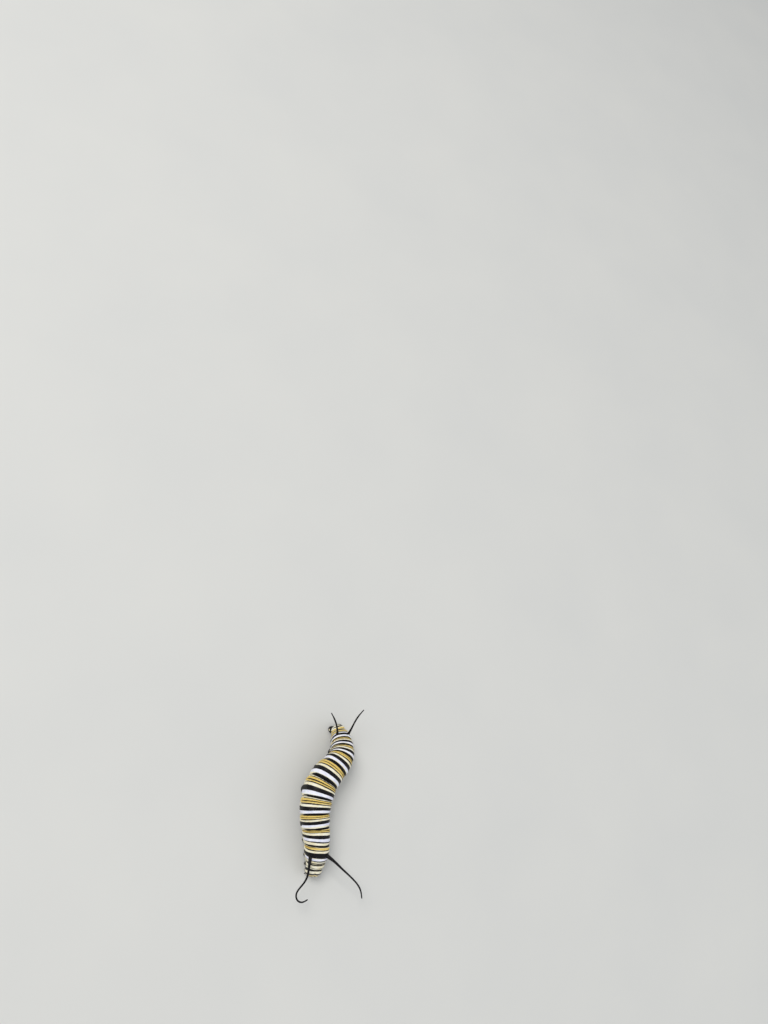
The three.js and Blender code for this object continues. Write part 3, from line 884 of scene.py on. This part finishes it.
SKIN_VOXEL = 0.054
SMOOTHING = 5
SIDES = 96
RINGS_PER_SEGMENT = 16

# The rim behind the head, from outside in: how far ahead, and the share of the body's section
COLLAR = [(0.1, 0.995), (0.2, 0.97), (0.27, 0.9), (0.3, 0.78), (0.28, 0.6)]

# Depths, widths and heights are in millimetres, angles in degrees. A pair of stations or angles is
# where a form starts to show and where it shows in full.
RELIEF = Form(front=(0.4, 0.9), tail=(12.95, 12.7), height=(0.2, 0.05))
CREASE = Form(depth=0.09, width=0.09)
RINGLETS = Form(depth=0.045, width=0.06, angles=(135, 112), until=11)
RINGLET_PLACES = (0.17, 0.37, 0.6, 0.75, 0.885)
SIDE_RIDGE = Form(angle=120, height=0.1, spread=9, least=0.35)
SIDE_GROOVE = Form(angle=105, depth=0.06, spread=5)
SHIELD = Form(height=0.05, start=(0.12, 0.2), end=(0.62, 0.5), angles=(70, 55))
PLATE = Form(height=0.05, start=(12.2, 12.3), end=(12.85, 12.7), angles=(62, 50))

# Fine unevenness: its height and how fast it runs along each axis
RIPPLE = Form(height=0.006, x=9.1, y=5.3, swing=3, z=11.7)


def body_shell():
    """The body as a closed tube, its front turned in as a collar behind the head."""
    angles = np.arange(SIDES) * 360 / SIDES - 180
    centre, rear, _, _ = frame_at(0.0)
    rim = skin_point(0.0, angles)
    collar = [centre - rear * ahead + (rim - centre) * share for ahead, share in reversed(COLLAR)]
    stations = np.linspace(0, LAST + 1, (LAST + 1) * RINGS_PER_SEGMENT + 1)
    rings = [skin_point(s, angles) for s in stations]
    return tube(np.array(collar + rings)[:, ::-1])


def relief(station, angle, height):
    """How far the skin stands out, from its folds, ringlets, side ridge and plates."""
    index = np.clip(station.astype(int), 0, LAST)
    share, length = station - index, LENGTHS[index]
    turn = np.abs(angle)
    inner = smoothstep(*RELIEF.front, station) * smoothstep(*RELIEF.tail, station)
    border = np.abs(station - np.round(station)) * length
    out = -CREASE.depth * bump(border, CREASE.width) * inner
    upper = smoothstep(*RINGLETS.angles, turn)
    for place in RINGLET_PLACES:
        groove = bump((share - place) * length, RINGLETS.width)
        out = out - RINGLETS.depth * groove * upper * inner * (station < RINGLETS.until)
    swell = SIDE_RIDGE.least + (1 - SIDE_RIDGE.least) * np.sin(np.pi * share) ** 2
    out = out + SIDE_RIDGE.height * bump(turn - SIDE_RIDGE.angle, SIDE_RIDGE.spread) * swell * inner
    out = out - SIDE_GROOVE.depth * bump(turn - SIDE_GROOVE.angle, SIDE_GROOVE.spread) * inner
    for plate in (SHIELD, PLATE):
        along = smoothstep(*plate.start, station) * smoothstep(*plate.end, station)
        out = out + plate.height * along * smoothstep(*plate.angles, turn)
    return out * smoothstep(*RELIEF.height, height)


# Where the remeshed skin is drawn back to its true forms. Near means within these shares of a
# tentacle's radius and millimetres of its rings, and a pair is where the pull starts and is full.
TENTACLE_PULL = Form(radii=1.6, along=0.2, height=(0.2, 0.6))
BODY_PULL = Form(from_limb=(0.02, 0.3), front=0.02, tail=0.93, height=0.2)


def to_rounds(corners, height):
    """Corners near a tentacle, drawn back to its true round section."""
    limbs = list(tentacles.values())
    lines = np.vstack([t.line for t in limbs])
    along = np.vstack([t.along for t in limbs])
    radii = np.concatenate([t.radius for t in limbs])
    near = nearest_of(corners, lines)
    offset = corners - lines[near]
    run = dot(offset, along[near])[:, None] * along[near]
    spoke = offset - run
    length = np.linalg.norm(spoke, axis=1)
    is_end = np.isin(near, np.cumsum([len(t.line) for t in limbs]) - 1)
    close = (length < radii[near] * TENTACLE_PULL.radii) & ~is_end
    close = close & (np.linalg.norm(run, axis=1) < TENTACLE_PULL.along)
    pull = (smoothstep(*TENTACLE_PULL.height, height) * close)[:, None]
    rounded = lines[near] + run + spoke / np.maximum(length, TINY)[:, None] * radii[near][:, None]
    return corners + (rounded - corners) * pull


def to_section(corners, station, height, on_skin, limbs):
    """Corners clear of the limbs, drawn back to the body's true section."""
    centres = np.vstack([limb.line for limb in limbs])
    sizes = np.concatenate([limb.radius * limb.broad for limb in limbs])
    near = nearest_of(corners, centres)
    apart = np.linalg.norm(corners - centres[near], axis=1) - sizes[near]
    inner = (station > BODY_PULL.front) * (station < LAST + BODY_PULL.tail)
    pull = smoothstep(*BODY_PULL.from_limb, apart) * inner * (np.abs(height) < BODY_PULL.height)
    return corners + (on_skin - corners) * pull[:, None]


def make_skin(material):
    shape = Shape().add(*body_shell())
    limbs = [leg for *_, leg in prolegs] + list(tentacles.values())
    for limb in limbs:
        shape.add(*tube(limb.rings()))
    corners, faces, edges = fused(shape.points(), shape.faces, SKIN_VOXEL)
    corners = relaxed(corners, edges, SMOOTHING)
    station, _, height, on_skin = locate(corners)
    corners = to_section(to_rounds(corners, height), station, height, on_skin, limbs)

    station, angle, height, _ = locate(corners)
    fields = markings(corners, station, angle, height)
    x, y, z = corners.T
    ripple = np.sin(x * RIPPLE.x + RIPPLE.swing * np.sin(y * RIPPLE.y)) * np.sin(z * RIPPLE.z)
    out = relief(station, angle, height) + RIPPLE.height * ripple
    corners = corners + normals_of(corners, faces) * out[:, None]
    corners[:, 2] = np.maximum(corners[:, 2], 0)
    names = [*NAMES, *(name for name, *_ in prolegs)]
    for name, spec in TENTACLES.items():
        names += [f"{name}_{i + 1}" for i in range(spec["pieces"])]
    piece("skin", corners, faces, material, names, fields)


# The head

HEAD = Form(half_width=1.72, half_height=1.6, half_depth=1.36, nod=14, sink=0.52)
GAP = 0.3
CHEEKS = Form(narrowing=0.24, start=0.1)
GROOVE = Form(depth=0.1, spread=0.15, low=-0.1, high=0.45)
FRONS = Form(depth=0.06, half_width=0.3, middle=-0.25, half_height=0.35)

rim_centre, rim_rear, rim_left, _ = frame_at(0.0)
face_out = bearing(180.0 + HEADINGS[0], float(-HEAD.nod))
crown = np.cross(face_out, rim_left)
head_centre = rim_centre - rim_rear * (GAP + HEAD.sink)
HEAD_AXES = np.stack([rim_left, crown, face_out])


def head_point(local):
    """Place in the part's frame of a point of the head given as left, up and out."""
    return head_centre + np.asarray(local, float) @ HEAD_AXES


def head_local(points):
    return (points - head_centre) @ HEAD_AXES.T


def cheek(y):
    return 1 - CHEEKS.narrowing * smoothstep(CHEEKS.start, 1, -y)


def capsule_local(d):
    """The capsule's surface in a direction, as left, up and out."""
    x, y, z = np.moveaxis(np.asarray(d, float), -1, 0)
    groove = 1 - GROOVE.depth * bump(x, GROOVE.spread) * smoothstep(GROOVE.low, GROOVE.high, y)
    dip = FRONS.depth * bump(x, FRONS.half_width) * bump(y - FRONS.middle, FRONS.half_height)
    left = x * HEAD.half_width * cheek(y) * groove
    out = z * HEAD.half_depth * groove * np.where(z > 0, 1 - dip, 1)
    return np.stack([left, y * HEAD.half_height * groove, out], -1)


def gaze(side, azimuth, elevation):
    a, e = np.radians(azimuth), np.radians(elevation)
    return np.stack([side * np.sin(a) * np.cos(e), np.sin(e) + 0 * a, np.cos(a) * np.cos(e)], -1)


# Lobes of the mouth, as centre and half size in left, up and out, and lean: the plate over the
# lip, the lip's two halves, the feelers, the chin and the spinneret
MOUTH = [
    ((0, -0.98, 0.96), (0.64, 0.2, 0.17), 38),
    ((0.2, -1.26, 0.82), (0.31, 0.29, 0.17), 24),
    ((0.43, -1.55, 0.14), (0.14, 0.24, 0.14), 0),
    ((0, -1.36, 0.05), (0.5, 0.34, 0.36), 0),
    ((0, -1.66, 0.2), (0.12, 0.2, 0.12), 0),
]
JAW = ((0.47, -1.33, 0.56), (0.31, 0.33, 0.3))
HEAD_VOXEL = 0.035


def lobe(form, side, columns=24):
    centre, half, lean = form
    directions, faces = ball(columns, columns * 2 // 3)
    turn = np.array(Matrix.Rotation(math.radians(lean), 3, "X"))
    local = (directions * half) @ turn.T + np.array(centre) * (side, 1, 1)
    return head_point(local), faces


# Markings of the head in degrees: arches over the face, the frame of the face's triangle, and the
# dark cheek round the eyes
ARCHES = ((27, 39), (56, 72), (92, 112))
ARCH_FOOT = -30
YELLOW_ARCH = (42, 53)
TRIANGLE = Form(top=6, bottom=-36, half_base=17, bow=0.3, reach=(-1, 1.2))
TRIANGLE_LINES = Form(side=3.8, base=1.8, tip=2)
DARK_CHEEK = Form(azimuth=70, elevation=-26, radius=21)
MOUTH_EDGE = -1.12
LIP_PALE = Form(centre=(0.2, 1.2, 0.95), scale=(0.7, 1.0, 0.6), radius=0.16)
HEAD_DEGREE = 0.027


def triangle_width(elevation):
    """Half width of the face's triangle, its sides bowed a little outwards."""
    rise = (TRIANGLE.top - elevation) / (TRIANGLE.top - TRIANGLE.bottom)
    rise = np.clip(rise, *TRIANGLE.reach)
    return TRIANGLE.half_base * (rise + TRIANGLE.bow * rise * (1 - rise) * (rise > 0))


def head_angles(local):
    """Azimuth from the face's midline, elevation, and angle from the face's centre, in degrees."""
    x, y, z = unit(local / np.array([HEAD.half_width, HEAD.half_height, HEAD.half_depth])).T
    azimuth = np.degrees(np.arctan2(np.abs(x), z))
    elevation = np.degrees(np.arcsin(np.clip(y, -1, 1)))
    return azimuth, elevation, np.where(y > 0, np.degrees(np.arccos(np.clip(z, -1, 1))), azimuth)


def within_arch(theta, elevation, arch):
    """How far inside an arch over the face, in millimetres."""
    low, high = arch
    return np.minimum(np.minimum(theta - low, high - theta), elevation - ARCH_FOOT) * HEAD_DEGREE


def head_markings(local):
    """The fields of the head's colours."""
    azimuth, elevation, theta = head_angles(local)
    black = np.max([within_arch(theta, elevation, arch) for arch in ARCHES], 0)
    over, under = TRIANGLE.top + TRIANGLE_LINES.tip - elevation, elevation - TRIANGLE.bottom
    line = TRIANGLE_LINES.side / 2 - np.abs(azimuth - triangle_width(elevation))
    line = np.minimum(line, np.minimum(over, under))
    base = np.minimum(TRIANGLE_LINES.base / 2 - np.abs(under), TRIANGLE.half_base - azimuth)
    black = np.maximum(black, np.maximum(line, base) * HEAD_DEGREE)
    aside = (azimuth - DARK_CHEEK.azimuth) * np.cos(np.radians(elevation))
    spread = np.hypot(aside, elevation - DARK_CHEEK.elevation)
    black = np.maximum(black, (DARK_CHEEK.radius - spread) * HEAD_DEGREE)
    black = np.maximum(black, MOUTH_EDGE - local[:, 1])
    from_lip = (np.abs(local) - LIP_PALE.centre) * LIP_PALE.scale
    black = np.minimum(black, np.linalg.norm(from_lip, axis=1) - LIP_PALE.radius)
    yellow = within_arch(theta, elevation, YELLOW_ARCH)
    return colour_fields(black, np.full(len(local), -FAR), yellow, np.zeros(len(local)))


# The grooves round the triangle: depth and width in millimetres, how far the sides reach under the
# base and how far the base reaches aside in degrees
SUTURES = Form(depth=0.035, width=0.035, under=4, aside=22)
CAPSULE_GRID = (96, 64)
HEAD_SMOOTHING = 4


def make_head(material):
    directions, faces = ball(*CAPSULE_GRID)
    shape = Shape().add(head_point(capsule_local(directions)), faces)
    for form in MOUTH:
        for side in (LEFT, RIGHT) if form[0][0] else (LEFT,):
            shape.add(*lobe(form, side))
    corners, faces, edges = fused(shape.points(), shape.faces, HEAD_VOXEL)
    corners = relaxed(corners, edges, HEAD_SMOOTHING)
    local = head_local(corners)
    azimuth, elevation, _ = head_angles(local)
    bottom, width = TRIANGLE.bottom, SUTURES.width
    line = bump((azimuth - np.maximum(triangle_width(elevation), 0)) * HEAD_DEGREE, width)
    line = line * (local[:, 2] > 0) * smoothstep(bottom - SUTURES.under, bottom, elevation)
    base = bump((elevation - bottom) * HEAD_DEGREE, width) * (azimuth < SUTURES.aside)
    out = -SUTURES.depth * np.maximum(line, base)
    corners = corners + normals_of(corners, faces) * out[:, None]
    fields = head_markings(head_local(corners))
    piece("head_capsule", corners, faces, material, ["head"], fields)


# Six eyes on each side: five on an arc, by their turns round its centre, and one by the antenna
EYES = Form(azimuth=68, elevation=-24, arc=14, radius=0.14, sink=0.06, grid=(20, 14))
EYE_TURNS = (-96, -48, 0, 48, 96)
SIXTH_EYE = (50, -36)


def make_eyes(material):
    shape = Shape()
    turns = [math.radians(turn) for turn in EYE_TURNS]
    on_arc = [(EYES.arc * math.cos(turn), EYES.arc * math.sin(turn)) for turn in turns]
    places = [SIXTH_EYE] + [(EYES.azimuth + aside, EYES.elevation + rise) for aside, rise in on_arc]
    for side in (LEFT, RIGHT):
        for azimuth, elevation in places:
            top = capsule_local(gaze(side, azimuth, elevation))
            centre = top * (1 - EYES.sink / np.linalg.norm(top))
            directions, faces = ball(*EYES.grid)
            shape.add(head_point(centre + directions * EYES.radius), faces)
    piece("eyes", shape.points(), shape.faces, material)


# A jaw's cutting edge: over which directions it comes in, its bulge, and its teeth
JAW_EDGE = Form(down=(-0.1, 0.9), out=(-0.4, 0.6), bulge=0.15)
JAW_TEETH = Form(count=5, span=1.2, depth=0.13)
JAW_GRID = (40, 28)
JAW_LEAST = 0.01


def make_jaws(material):
    """A jaw on each side, its cutting edge scalloped into teeth."""
    shape = Shape()
    centre, half = JAW
    for side in (LEFT, RIGHT):
        directions, faces = ball(*JAW_GRID)
        x, y, z = directions.T
        edge = smoothstep(*JAW_EDGE.down, -y) * smoothstep(*JAW_EDGE.out, z)
        teeth = np.abs(np.sin(np.arctan2(x, z) * JAW_TEETH.count / JAW_TEETH.span))
        size = 1 + JAW_EDGE.bulge * edge - JAW_TEETH.depth * edge * teeth
        local = directions * half * size[:, None] + np.array(centre) * (side, 1, 1)
        shape.add(head_point(local), faces)
    horn_piece("jaws", shape, material, least=JAW_LEAST)


# An antenna: how deep it starts, its length, its radius and its outline, as shares of both, and the
# part of it over which the pale membrane at its root turns black
ANTENNA = Form(azimuth=50, elevation=-30, start=0.3, length=0.7, radius=0.27, sides=20)
ANTENNA_OUTLINE = [
    *((0.0, 0.86), (0.3, 0.84), (0.36, 0.76), (0.42, 0.62), (0.46, 0.55), (0.49, 0.53)),
    *((0.56, 0.56), (0.63, 0.52), (0.66, 0.44), (0.69, 0.38), (0.73, 0.37), (0.8, 0.38)),
    *((0.86, 0.34), (0.89, 0.24), (0.92, 0.14), (0.97, 0.1), (1.0, 0.04)),
]
ANTENNA_PALE = (0.52, 0.44)


def make_antennae(material):
    """Short antennae of three joints, with a pale membrane at the root."""
    shape = Shape()
    for side in (LEFT, RIGHT):
        out = gaze(side, ANTENNA.azimuth, ANTENNA.elevation)
        skin = head_point(capsule_local(out))
        ahead = unit(out @ HEAD_AXES)
        ends = [skin - ahead * ANTENNA.start, skin + ahead * ANTENNA.length]
        limb = Limb(ends, [ANTENNA.radius] * 2, crown)
        outline = np.interp(limb.share, *zip(*ANTENNA_OUTLINE))
        corners, faces = tube(limb.rings(ANTENNA.sides, outline))
        pale = smoothstep(*ANTENNA_PALE, np.repeat(limb.share, ANTENNA.sides))
        shape.add(corners, faces, [*pale, 1, 0])
    horn_piece("antennae", shape, material, ["antenna_left", "antenna_right"])


# Legs of the thorax

LEGS = [
    Form(station=0.55, reach=1.02, ahead=0.35),
    Form(station=1.45, reach=1.25, ahead=0.35),
    Form(station=2.45, reach=1.45, ahead=0.3),
]
LEG = Form(angle=146, hip=0.7, bow=0.24, sides=24, end=0.9)
LEG_RADII = [0.54, 0.52, 0.42, 0.41, 0.31, 0.31, 0.22, 0.1]

# A leg's bends at the knee and the shin: shares of its reach ahead and of the skin's height
LEG_BENDS = ((0.2, 0.62), (0.7, 0.3))

# Along a leg, in shares of it: its joints, the soft ring at each and the swelling before it
JOINTS = (0.34, 0.6, 0.82)
JOINT_RING = Form(depth=0.2, width=0.018, pale=0.55, pale_width=0.016)
JOINT_SWELL = Form(height=0.07, width=0.035, before=0.06)

# A claw: its radii, how far it bows out and hooks in, its height over the floor, rings and sides
CLAW = Form(radii=[0.088, 0.055, 0.012], bow=0.05, hook=0.04, height=0.012, grid=(20, 12))


def leg_limb(leg, side):
    ahead, at = floor_frame(leg.station, side)
    angle = side * LEG.angle
    height = skin_point(leg.station, angle)[2]
    outer = leg.reach + LEG.bow
    bends = [at(outer, leg.ahead * share, height * rise) for share, rise in LEG_BENDS]
    points = [under_skin(leg.station, angle, LEG.hip), *bends, at(leg.reach, leg.ahead, 0)]
    return Limb(points, LEG_RADII, ahead)


def claw_limb(tip, foot, inward):
    foot = foot * (1, 1, 0) + (0, 0, CLAW.height)
    middle = (tip + foot) / 2 - inward * CLAW.bow
    return Limb([tip, middle, foot + inward * CLAW.hook], CLAW.radii, inward, count=CLAW.grid[0])


def make_legs(material):
    """Six jointed legs: each joint swells before a narrow pale ring of soft skin."""
    legs, claws, names = Shape(), Shape(), []
    for number, leg in enumerate(LEGS, 1):
        for side in (LEFT, RIGHT):
            limb = leg_limb(leg, side)
            size, pale = 1, 0
            for joint in JOINTS:
                past = limb.share - joint
                size = size - JOINT_RING.depth * bump(past, JOINT_RING.width)
                size = size + JOINT_SWELL.height * bump(past + JOINT_SWELL.before, JOINT_SWELL.width)
                pale = pale + bump(past, JOINT_RING.pale_width)
            keep = limb.share <= LEG.end
            corners, faces = tube(limb.rings(LEG.sides, size)[keep])
            mark = np.repeat(np.clip(pale, 0, 1)[keep] * JOINT_RING.pale, LEG.sides)
            legs.add(corners, faces, [*mark, 0, 0])
            inward = unit(frame_at(leg.station)[2] * -side)
            claw = claw_limb(limb.line[keep][-1], limb.line[-1], inward)
            claws.add(*tube(claw.rings(CLAW.grid[1])))
            names.append(f"leg_{SIDE_WORDS[side]}_{number}")
    horn_piece("legs", legs, material, names)
    horn_piece("claws", claws, material)


# Small things on the skin


HOOK = Form(taper=(1, 0.8, 0.12), keep=(0.3, 0.2, 0.93), rings=7)


def hook(points, radius, sides=5):
    """A thin tapered thing along points."""
    limb = Limb(points, [radius * share for share in HOOK.taper], HOOK.keep, count=HOOK.rings)
    return tube(limb.rings(sides))


# Hooks on a sole: each starts at a share of the sole's radius, and every second one is shorter.
# Its bend and tip are shares of its length outwards and heights under its root.
CROCHETS = Form(count=26, arc=200, length=0.16, shorter=0.75, radius=0.016, pale=0.12)
CROCHET_ROOT = Form(share=0.93, height=0.09)
CROCHET_BENDS = ((0.55, 0.02), (0.45, 0.075))
CROCHET_LEAST = 0.002


def make_crochets(material):
    """The row of tiny hooks round the inner rim of each proleg's sole."""
    shape = Shape()
    for _, side, _, station, leg in prolegs:
        inward = unit(frame_at(station)[2] * -side)
        ahead = np.cross(inward, UP)
        for i in range(CROCHETS.count):
            turn = math.radians((i / (CROCHETS.count - 1) - 0.5) * CROCHETS.arc)
            out = inward * math.cos(turn) + ahead * math.sin(turn)
            broad = math.hypot(math.cos(turn), math.sin(turn) * leg.broad)
            root = leg.line[-1] * (1, 1, 0) + out * leg.radius[-1] * broad * CROCHET_ROOT.share
            root = root + (0, 0, CROCHET_ROOT.height)
            reach = CROCHETS.length * (1 if i % 2 else CROCHETS.shorter)
            bends = [root + out * reach * share - (0, 0, drop) for share, drop in CROCHET_BENDS]
            shape.add(*hook([root, *bends], CROCHETS.radius), CROCHETS.pale)
    horn_piece("crochets", shape, material, least=CROCHET_LEAST)


# A breathing hole from its rim inwards: shares of its half size, and heights over the skin
SPIRACLE = Form(angle=97, half=(0.2, 0.34), share=0.4, sides=28)
SPIRACLE_SEGMENTS = (0, 3, 4, 5, 6, 7, 8, 9, 10)
SPIRACLE_SHARES = (1.25, 1.14, 1.0, 0.84, 0.68, 0.4, 0.12)
SPIRACLE_HEIGHTS = (-0.07, 0.02, 0.075, 0.075, 0.04, 0.026, 0.02)


def make_spiracles(material):
    """Breathing holes: an oval rim with a sunken slit, one on each side of nine segments."""
    shape = Shape()
    turn = np.arange(SPIRACLE.sides)[:, None] * 2 * np.pi / SPIRACLE.sides
    long, high = SPIRACLE.half
    for index in SPIRACLE_SEGMENTS:
        size = HALF_WIDTHS[index] / PROLEG_HALF_WIDTH
        for side in (LEFT, RIGHT):
            station, angle = index + SPIRACLE.share, side * SPIRACLE.angle
            centre, out = skin_point(station, angle), skin_normal(station, angle)
            rear = frame_at(station)[1]
            rear = unit(rear - out * dot(rear, out))
            oval = (rear * np.cos(turn) * long + np.cross(out, rear) * np.sin(turn) * high) * size
            levels = zip(SPIRACLE_SHARES, SPIRACLE_HEIGHTS)
            shape.add(*tube(np.array([centre + oval * share + out * height for share, height in levels])))
    horn_piece("spiracles", shape, material)


# Bristles: how deep they start, where they bend, and how many sides they have
BRISTLE = Form(depth=0.06, bend=0.4, sides=4)

# Those of the body: rows down each flank, where they stand in their share of a row or segment, the
# last station, the widest angle, the lowest root, and how far they lean back and at random
SETAE = Form(rows=9, per_segment=3, within=(0.15, 0.85), last=LAST + 0.8, widest=168)
SETAE_FORM = Form(lowest=0.35, length=(0.12, 0.26), lean=(-0.1, 0.5), stray=0.15, radius=0.009)
HEAD_SETAE = Form(count=90, azimuth=(6, 95), elevation=(-34, 62))
HEAD_SETAE_FORM = Form(length=(0.16, 0.34), lean=(0, -0.5, 0.25), stray=0.12, radius=0.01)


def bristle(root, out, lean, length):
    """A line that leaves the skin straight and then leans."""
    bend = root + out * length * BRISTLE.bend
    return np.array([root - out * BRISTLE.depth, bend, root + lean * length])


def body_bristles():
    """Lines of the body's short sparse bristles, with their places on the unrolled skin."""
    draw = np.random.default_rng(SEED + 1)
    rows, count = SETAE.rows, SETAE.per_segment
    for index, flank, row, i in np.ndindex(LAST + 1, 2, rows, count):
        side = (LEFT, RIGHT)[flank]
        station = min(index + (i + draw.uniform(*SETAE.within)) / count, SETAE.last)
        angle = side * (row + draw.uniform(*SETAE.within)) * SETAE.widest / rows
        root = skin_point(station, angle)
        if root[2] < SETAE_FORM.lowest:
            continue
        out = skin_normal(station, angle)
        length = draw.uniform(*SETAE_FORM.length)
        back = frame_at(station)[1] * draw.uniform(*SETAE_FORM.lean)
        lean = unit(out + back + draw.normal(0, SETAE_FORM.stray, 3))
        yield bristle(root, out, lean, length), (station / (LAST + 1), (angle + 180) / 360)


def head_bristles():
    """Lines of the head's fine bristles, with their places on the unrolled head."""
    draw = np.random.default_rng(SEED + 2)
    for _ in range(HEAD_SETAE.count):
        side = draw.choice((LEFT, RIGHT))
        azimuth, elevation = draw.uniform(*HEAD_SETAE.azimuth), draw.uniform(*HEAD_SETAE.elevation)
        out = gaze(side, azimuth, elevation)
        length = draw.uniform(*HEAD_SETAE_FORM.length)
        lean = unit(out + HEAD_SETAE_FORM.lean + draw.normal(0, HEAD_SETAE_FORM.stray, 3))
        line = head_point(bristle(capsule_local(out), out, lean, length))
        yield line, (0.5 + side * azimuth / 360, (elevation + 90) / 180)


def make_bristles(name, lines, radius, material):
    """A piece of bristles, each with its patch on a map of the skin."""
    shape, patches = Shape(), []
    for points, patch in lines:
        corners, faces = hook(points, radius, BRISTLE.sides)
        shape.add(corners, faces)
        patches += [patch] * len(corners)
    patch_map(piece(name, shape.points(), shape.faces, material), patches)


# The size of a bristle's patch on the map, and the millimetres that its weave repeats over
PATCH = 0.003
WEAVE = 0.5


def patch_map(made, patches):
    """A map where each bristle is a small patch at its root's place on the unrolled skin."""
    mesh = made.data
    layer = mesh.uv_layers.new(name="OFBake")
    corner = read(mesh.loops, "vertex_index", 1, np.int32)
    x, y, z = read(mesh.vertices, "co", 3)[corner].T / MM
    wiggle = (np.stack([x + z, y - z], 1) % WEAVE) / WEAVE - 0.5
    places = np.clip(np.array(patches)[corner] + wiggle * PATCH, 0, 1)
    layer.uv.foreach_set("vector", places.astype(np.float32).ravel())


# Floor, light and camera

PHOTO = (768, 1024)
FOCAL_PIXELS = 769
SENSOR = 36
CLIP_START = 0.001
ANCHOR = Form(station=4.47, pixel=(315.6, 807), depth=154)
CAMERA_ROLL = 18
CAMERA_TILT = 1.5
LIGHTS = {
    "key": {"place": (-0.32, 0.24, 0.6), "size": 0.34, "watts": 2.7, "tint": (1.0, 0.985, 0.96)},
    "fill": {"place": (0.48, -0.2, 0.4), "size": 0.52, "watts": 0.64, "tint": (0.95, 0.98, 1.0)},
    "front": {"place": (-0.06, -0.6, 0.24), "size": 0.4, "watts": 0.44, "tint": (1.0, 1.0, 1.0)},
}
WORLD = {"Color": (0.93, 0.96, 1.0, 1), "Strength": 0.56}
FLOOR_HALF = 1.5


def turned(look, up):
    """Axes of a camera that looks along a direction, as columns."""
    z = -look
    y = unit(up - z * dot(up, z))
    return np.stack([np.cross(y, z), y, z], 1)


def make_camera():
    """The photo's camera: it looks down so that the anchor's station lies on the anchor's pixel."""
    across, down = ((ANCHOR.pixel[k] - PHOTO[k] / 2) / FOCAL_PIXELS for k in (0, 1))
    ray = np.array([across, -down, -1.0])
    aside, ahead = (math.tan(math.radians(angle)) for angle in (CAMERA_ROLL, CAMERA_TILT))
    towards = unit(np.array([-aside, -ahead, 1.0]))
    north = np.array([0.0, 1.0, 0.0])
    axes = turned(-towards, north) @ turned(unit(ray), north).T
    place = frame_at(ANCHOR.station)[0] + towards * ANCHOR.depth * np.linalg.norm(ray)
    data = bpy.data.cameras.new("camera")
    data.sensor_width = SENSOR
    data.lens = FOCAL_PIXELS / PHOTO[1] * SENSOR
    data.clip_start = CLIP_START
    camera = placed("camera", data)
    camera.matrix_world = Matrix.Translation(Vector(place * MM)) @ Matrix(axes.tolist()).to_4x4()
    bpy.context.scene.camera = camera


def make_lights():
    for name, spec in LIGHTS.items():
        data = bpy.data.lights.new(name, "AREA")
        data.energy = spec["watts"]
        data.size = spec["size"]
        data.color = spec["tint"]
        light = placed(name, data)
        light.location = spec["place"]
        light.rotation_euler = (-Vector(spec["place"])).to_track_quat("-Z", "Y").to_euler()
    world = bpy.data.worlds.new("studio")
    world.use_nodes = True
    for socket, value in WORLD.items():
        world.node_tree.nodes["Background"].inputs[socket].default_value = value
    bpy.context.scene.world = world
    bpy.context.scene.view_settings.view_transform = "Standard"


def make_floor():
    square = ((-1, -1), (1, -1), (1, 1), (-1, 1))
    mesh = new_mesh("floor", [(x * FLOOR_HALF, y * FLOOR_HALF, 0) for x, y in square], [(0, 1, 2, 3)])
    finish = Finish("floor")
    shade = finish.mix(finish.noise(size=30, detail=3.0), *FLOOR_GREY)
    finish.put({"Base Color": shade, "Roughness": 0.7})
    mesh.materials.append(finish.material)
    placed("floor", mesh)


def main():
    make_camera()
    horn = horn_material("black_horn")
    make_skin(skin_material())
    make_head(head_material())
    make_eyes(eye_material())
    make_jaws(horn_material("jaw_horn"))
    make_antennae(horn)
    make_legs(horn)
    make_crochets(horn_material("hook_horn"))
    make_spiracles(horn_material("spiracle_horn"))
    bristles = bristle_material()
    make_bristles("setae", body_bristles(), SETAE_FORM.radius, bristles)
    make_bristles("head_setae", head_bristles(), HEAD_SETAE_FORM.radius, bristles)
    make_floor()
    make_lights()


main()
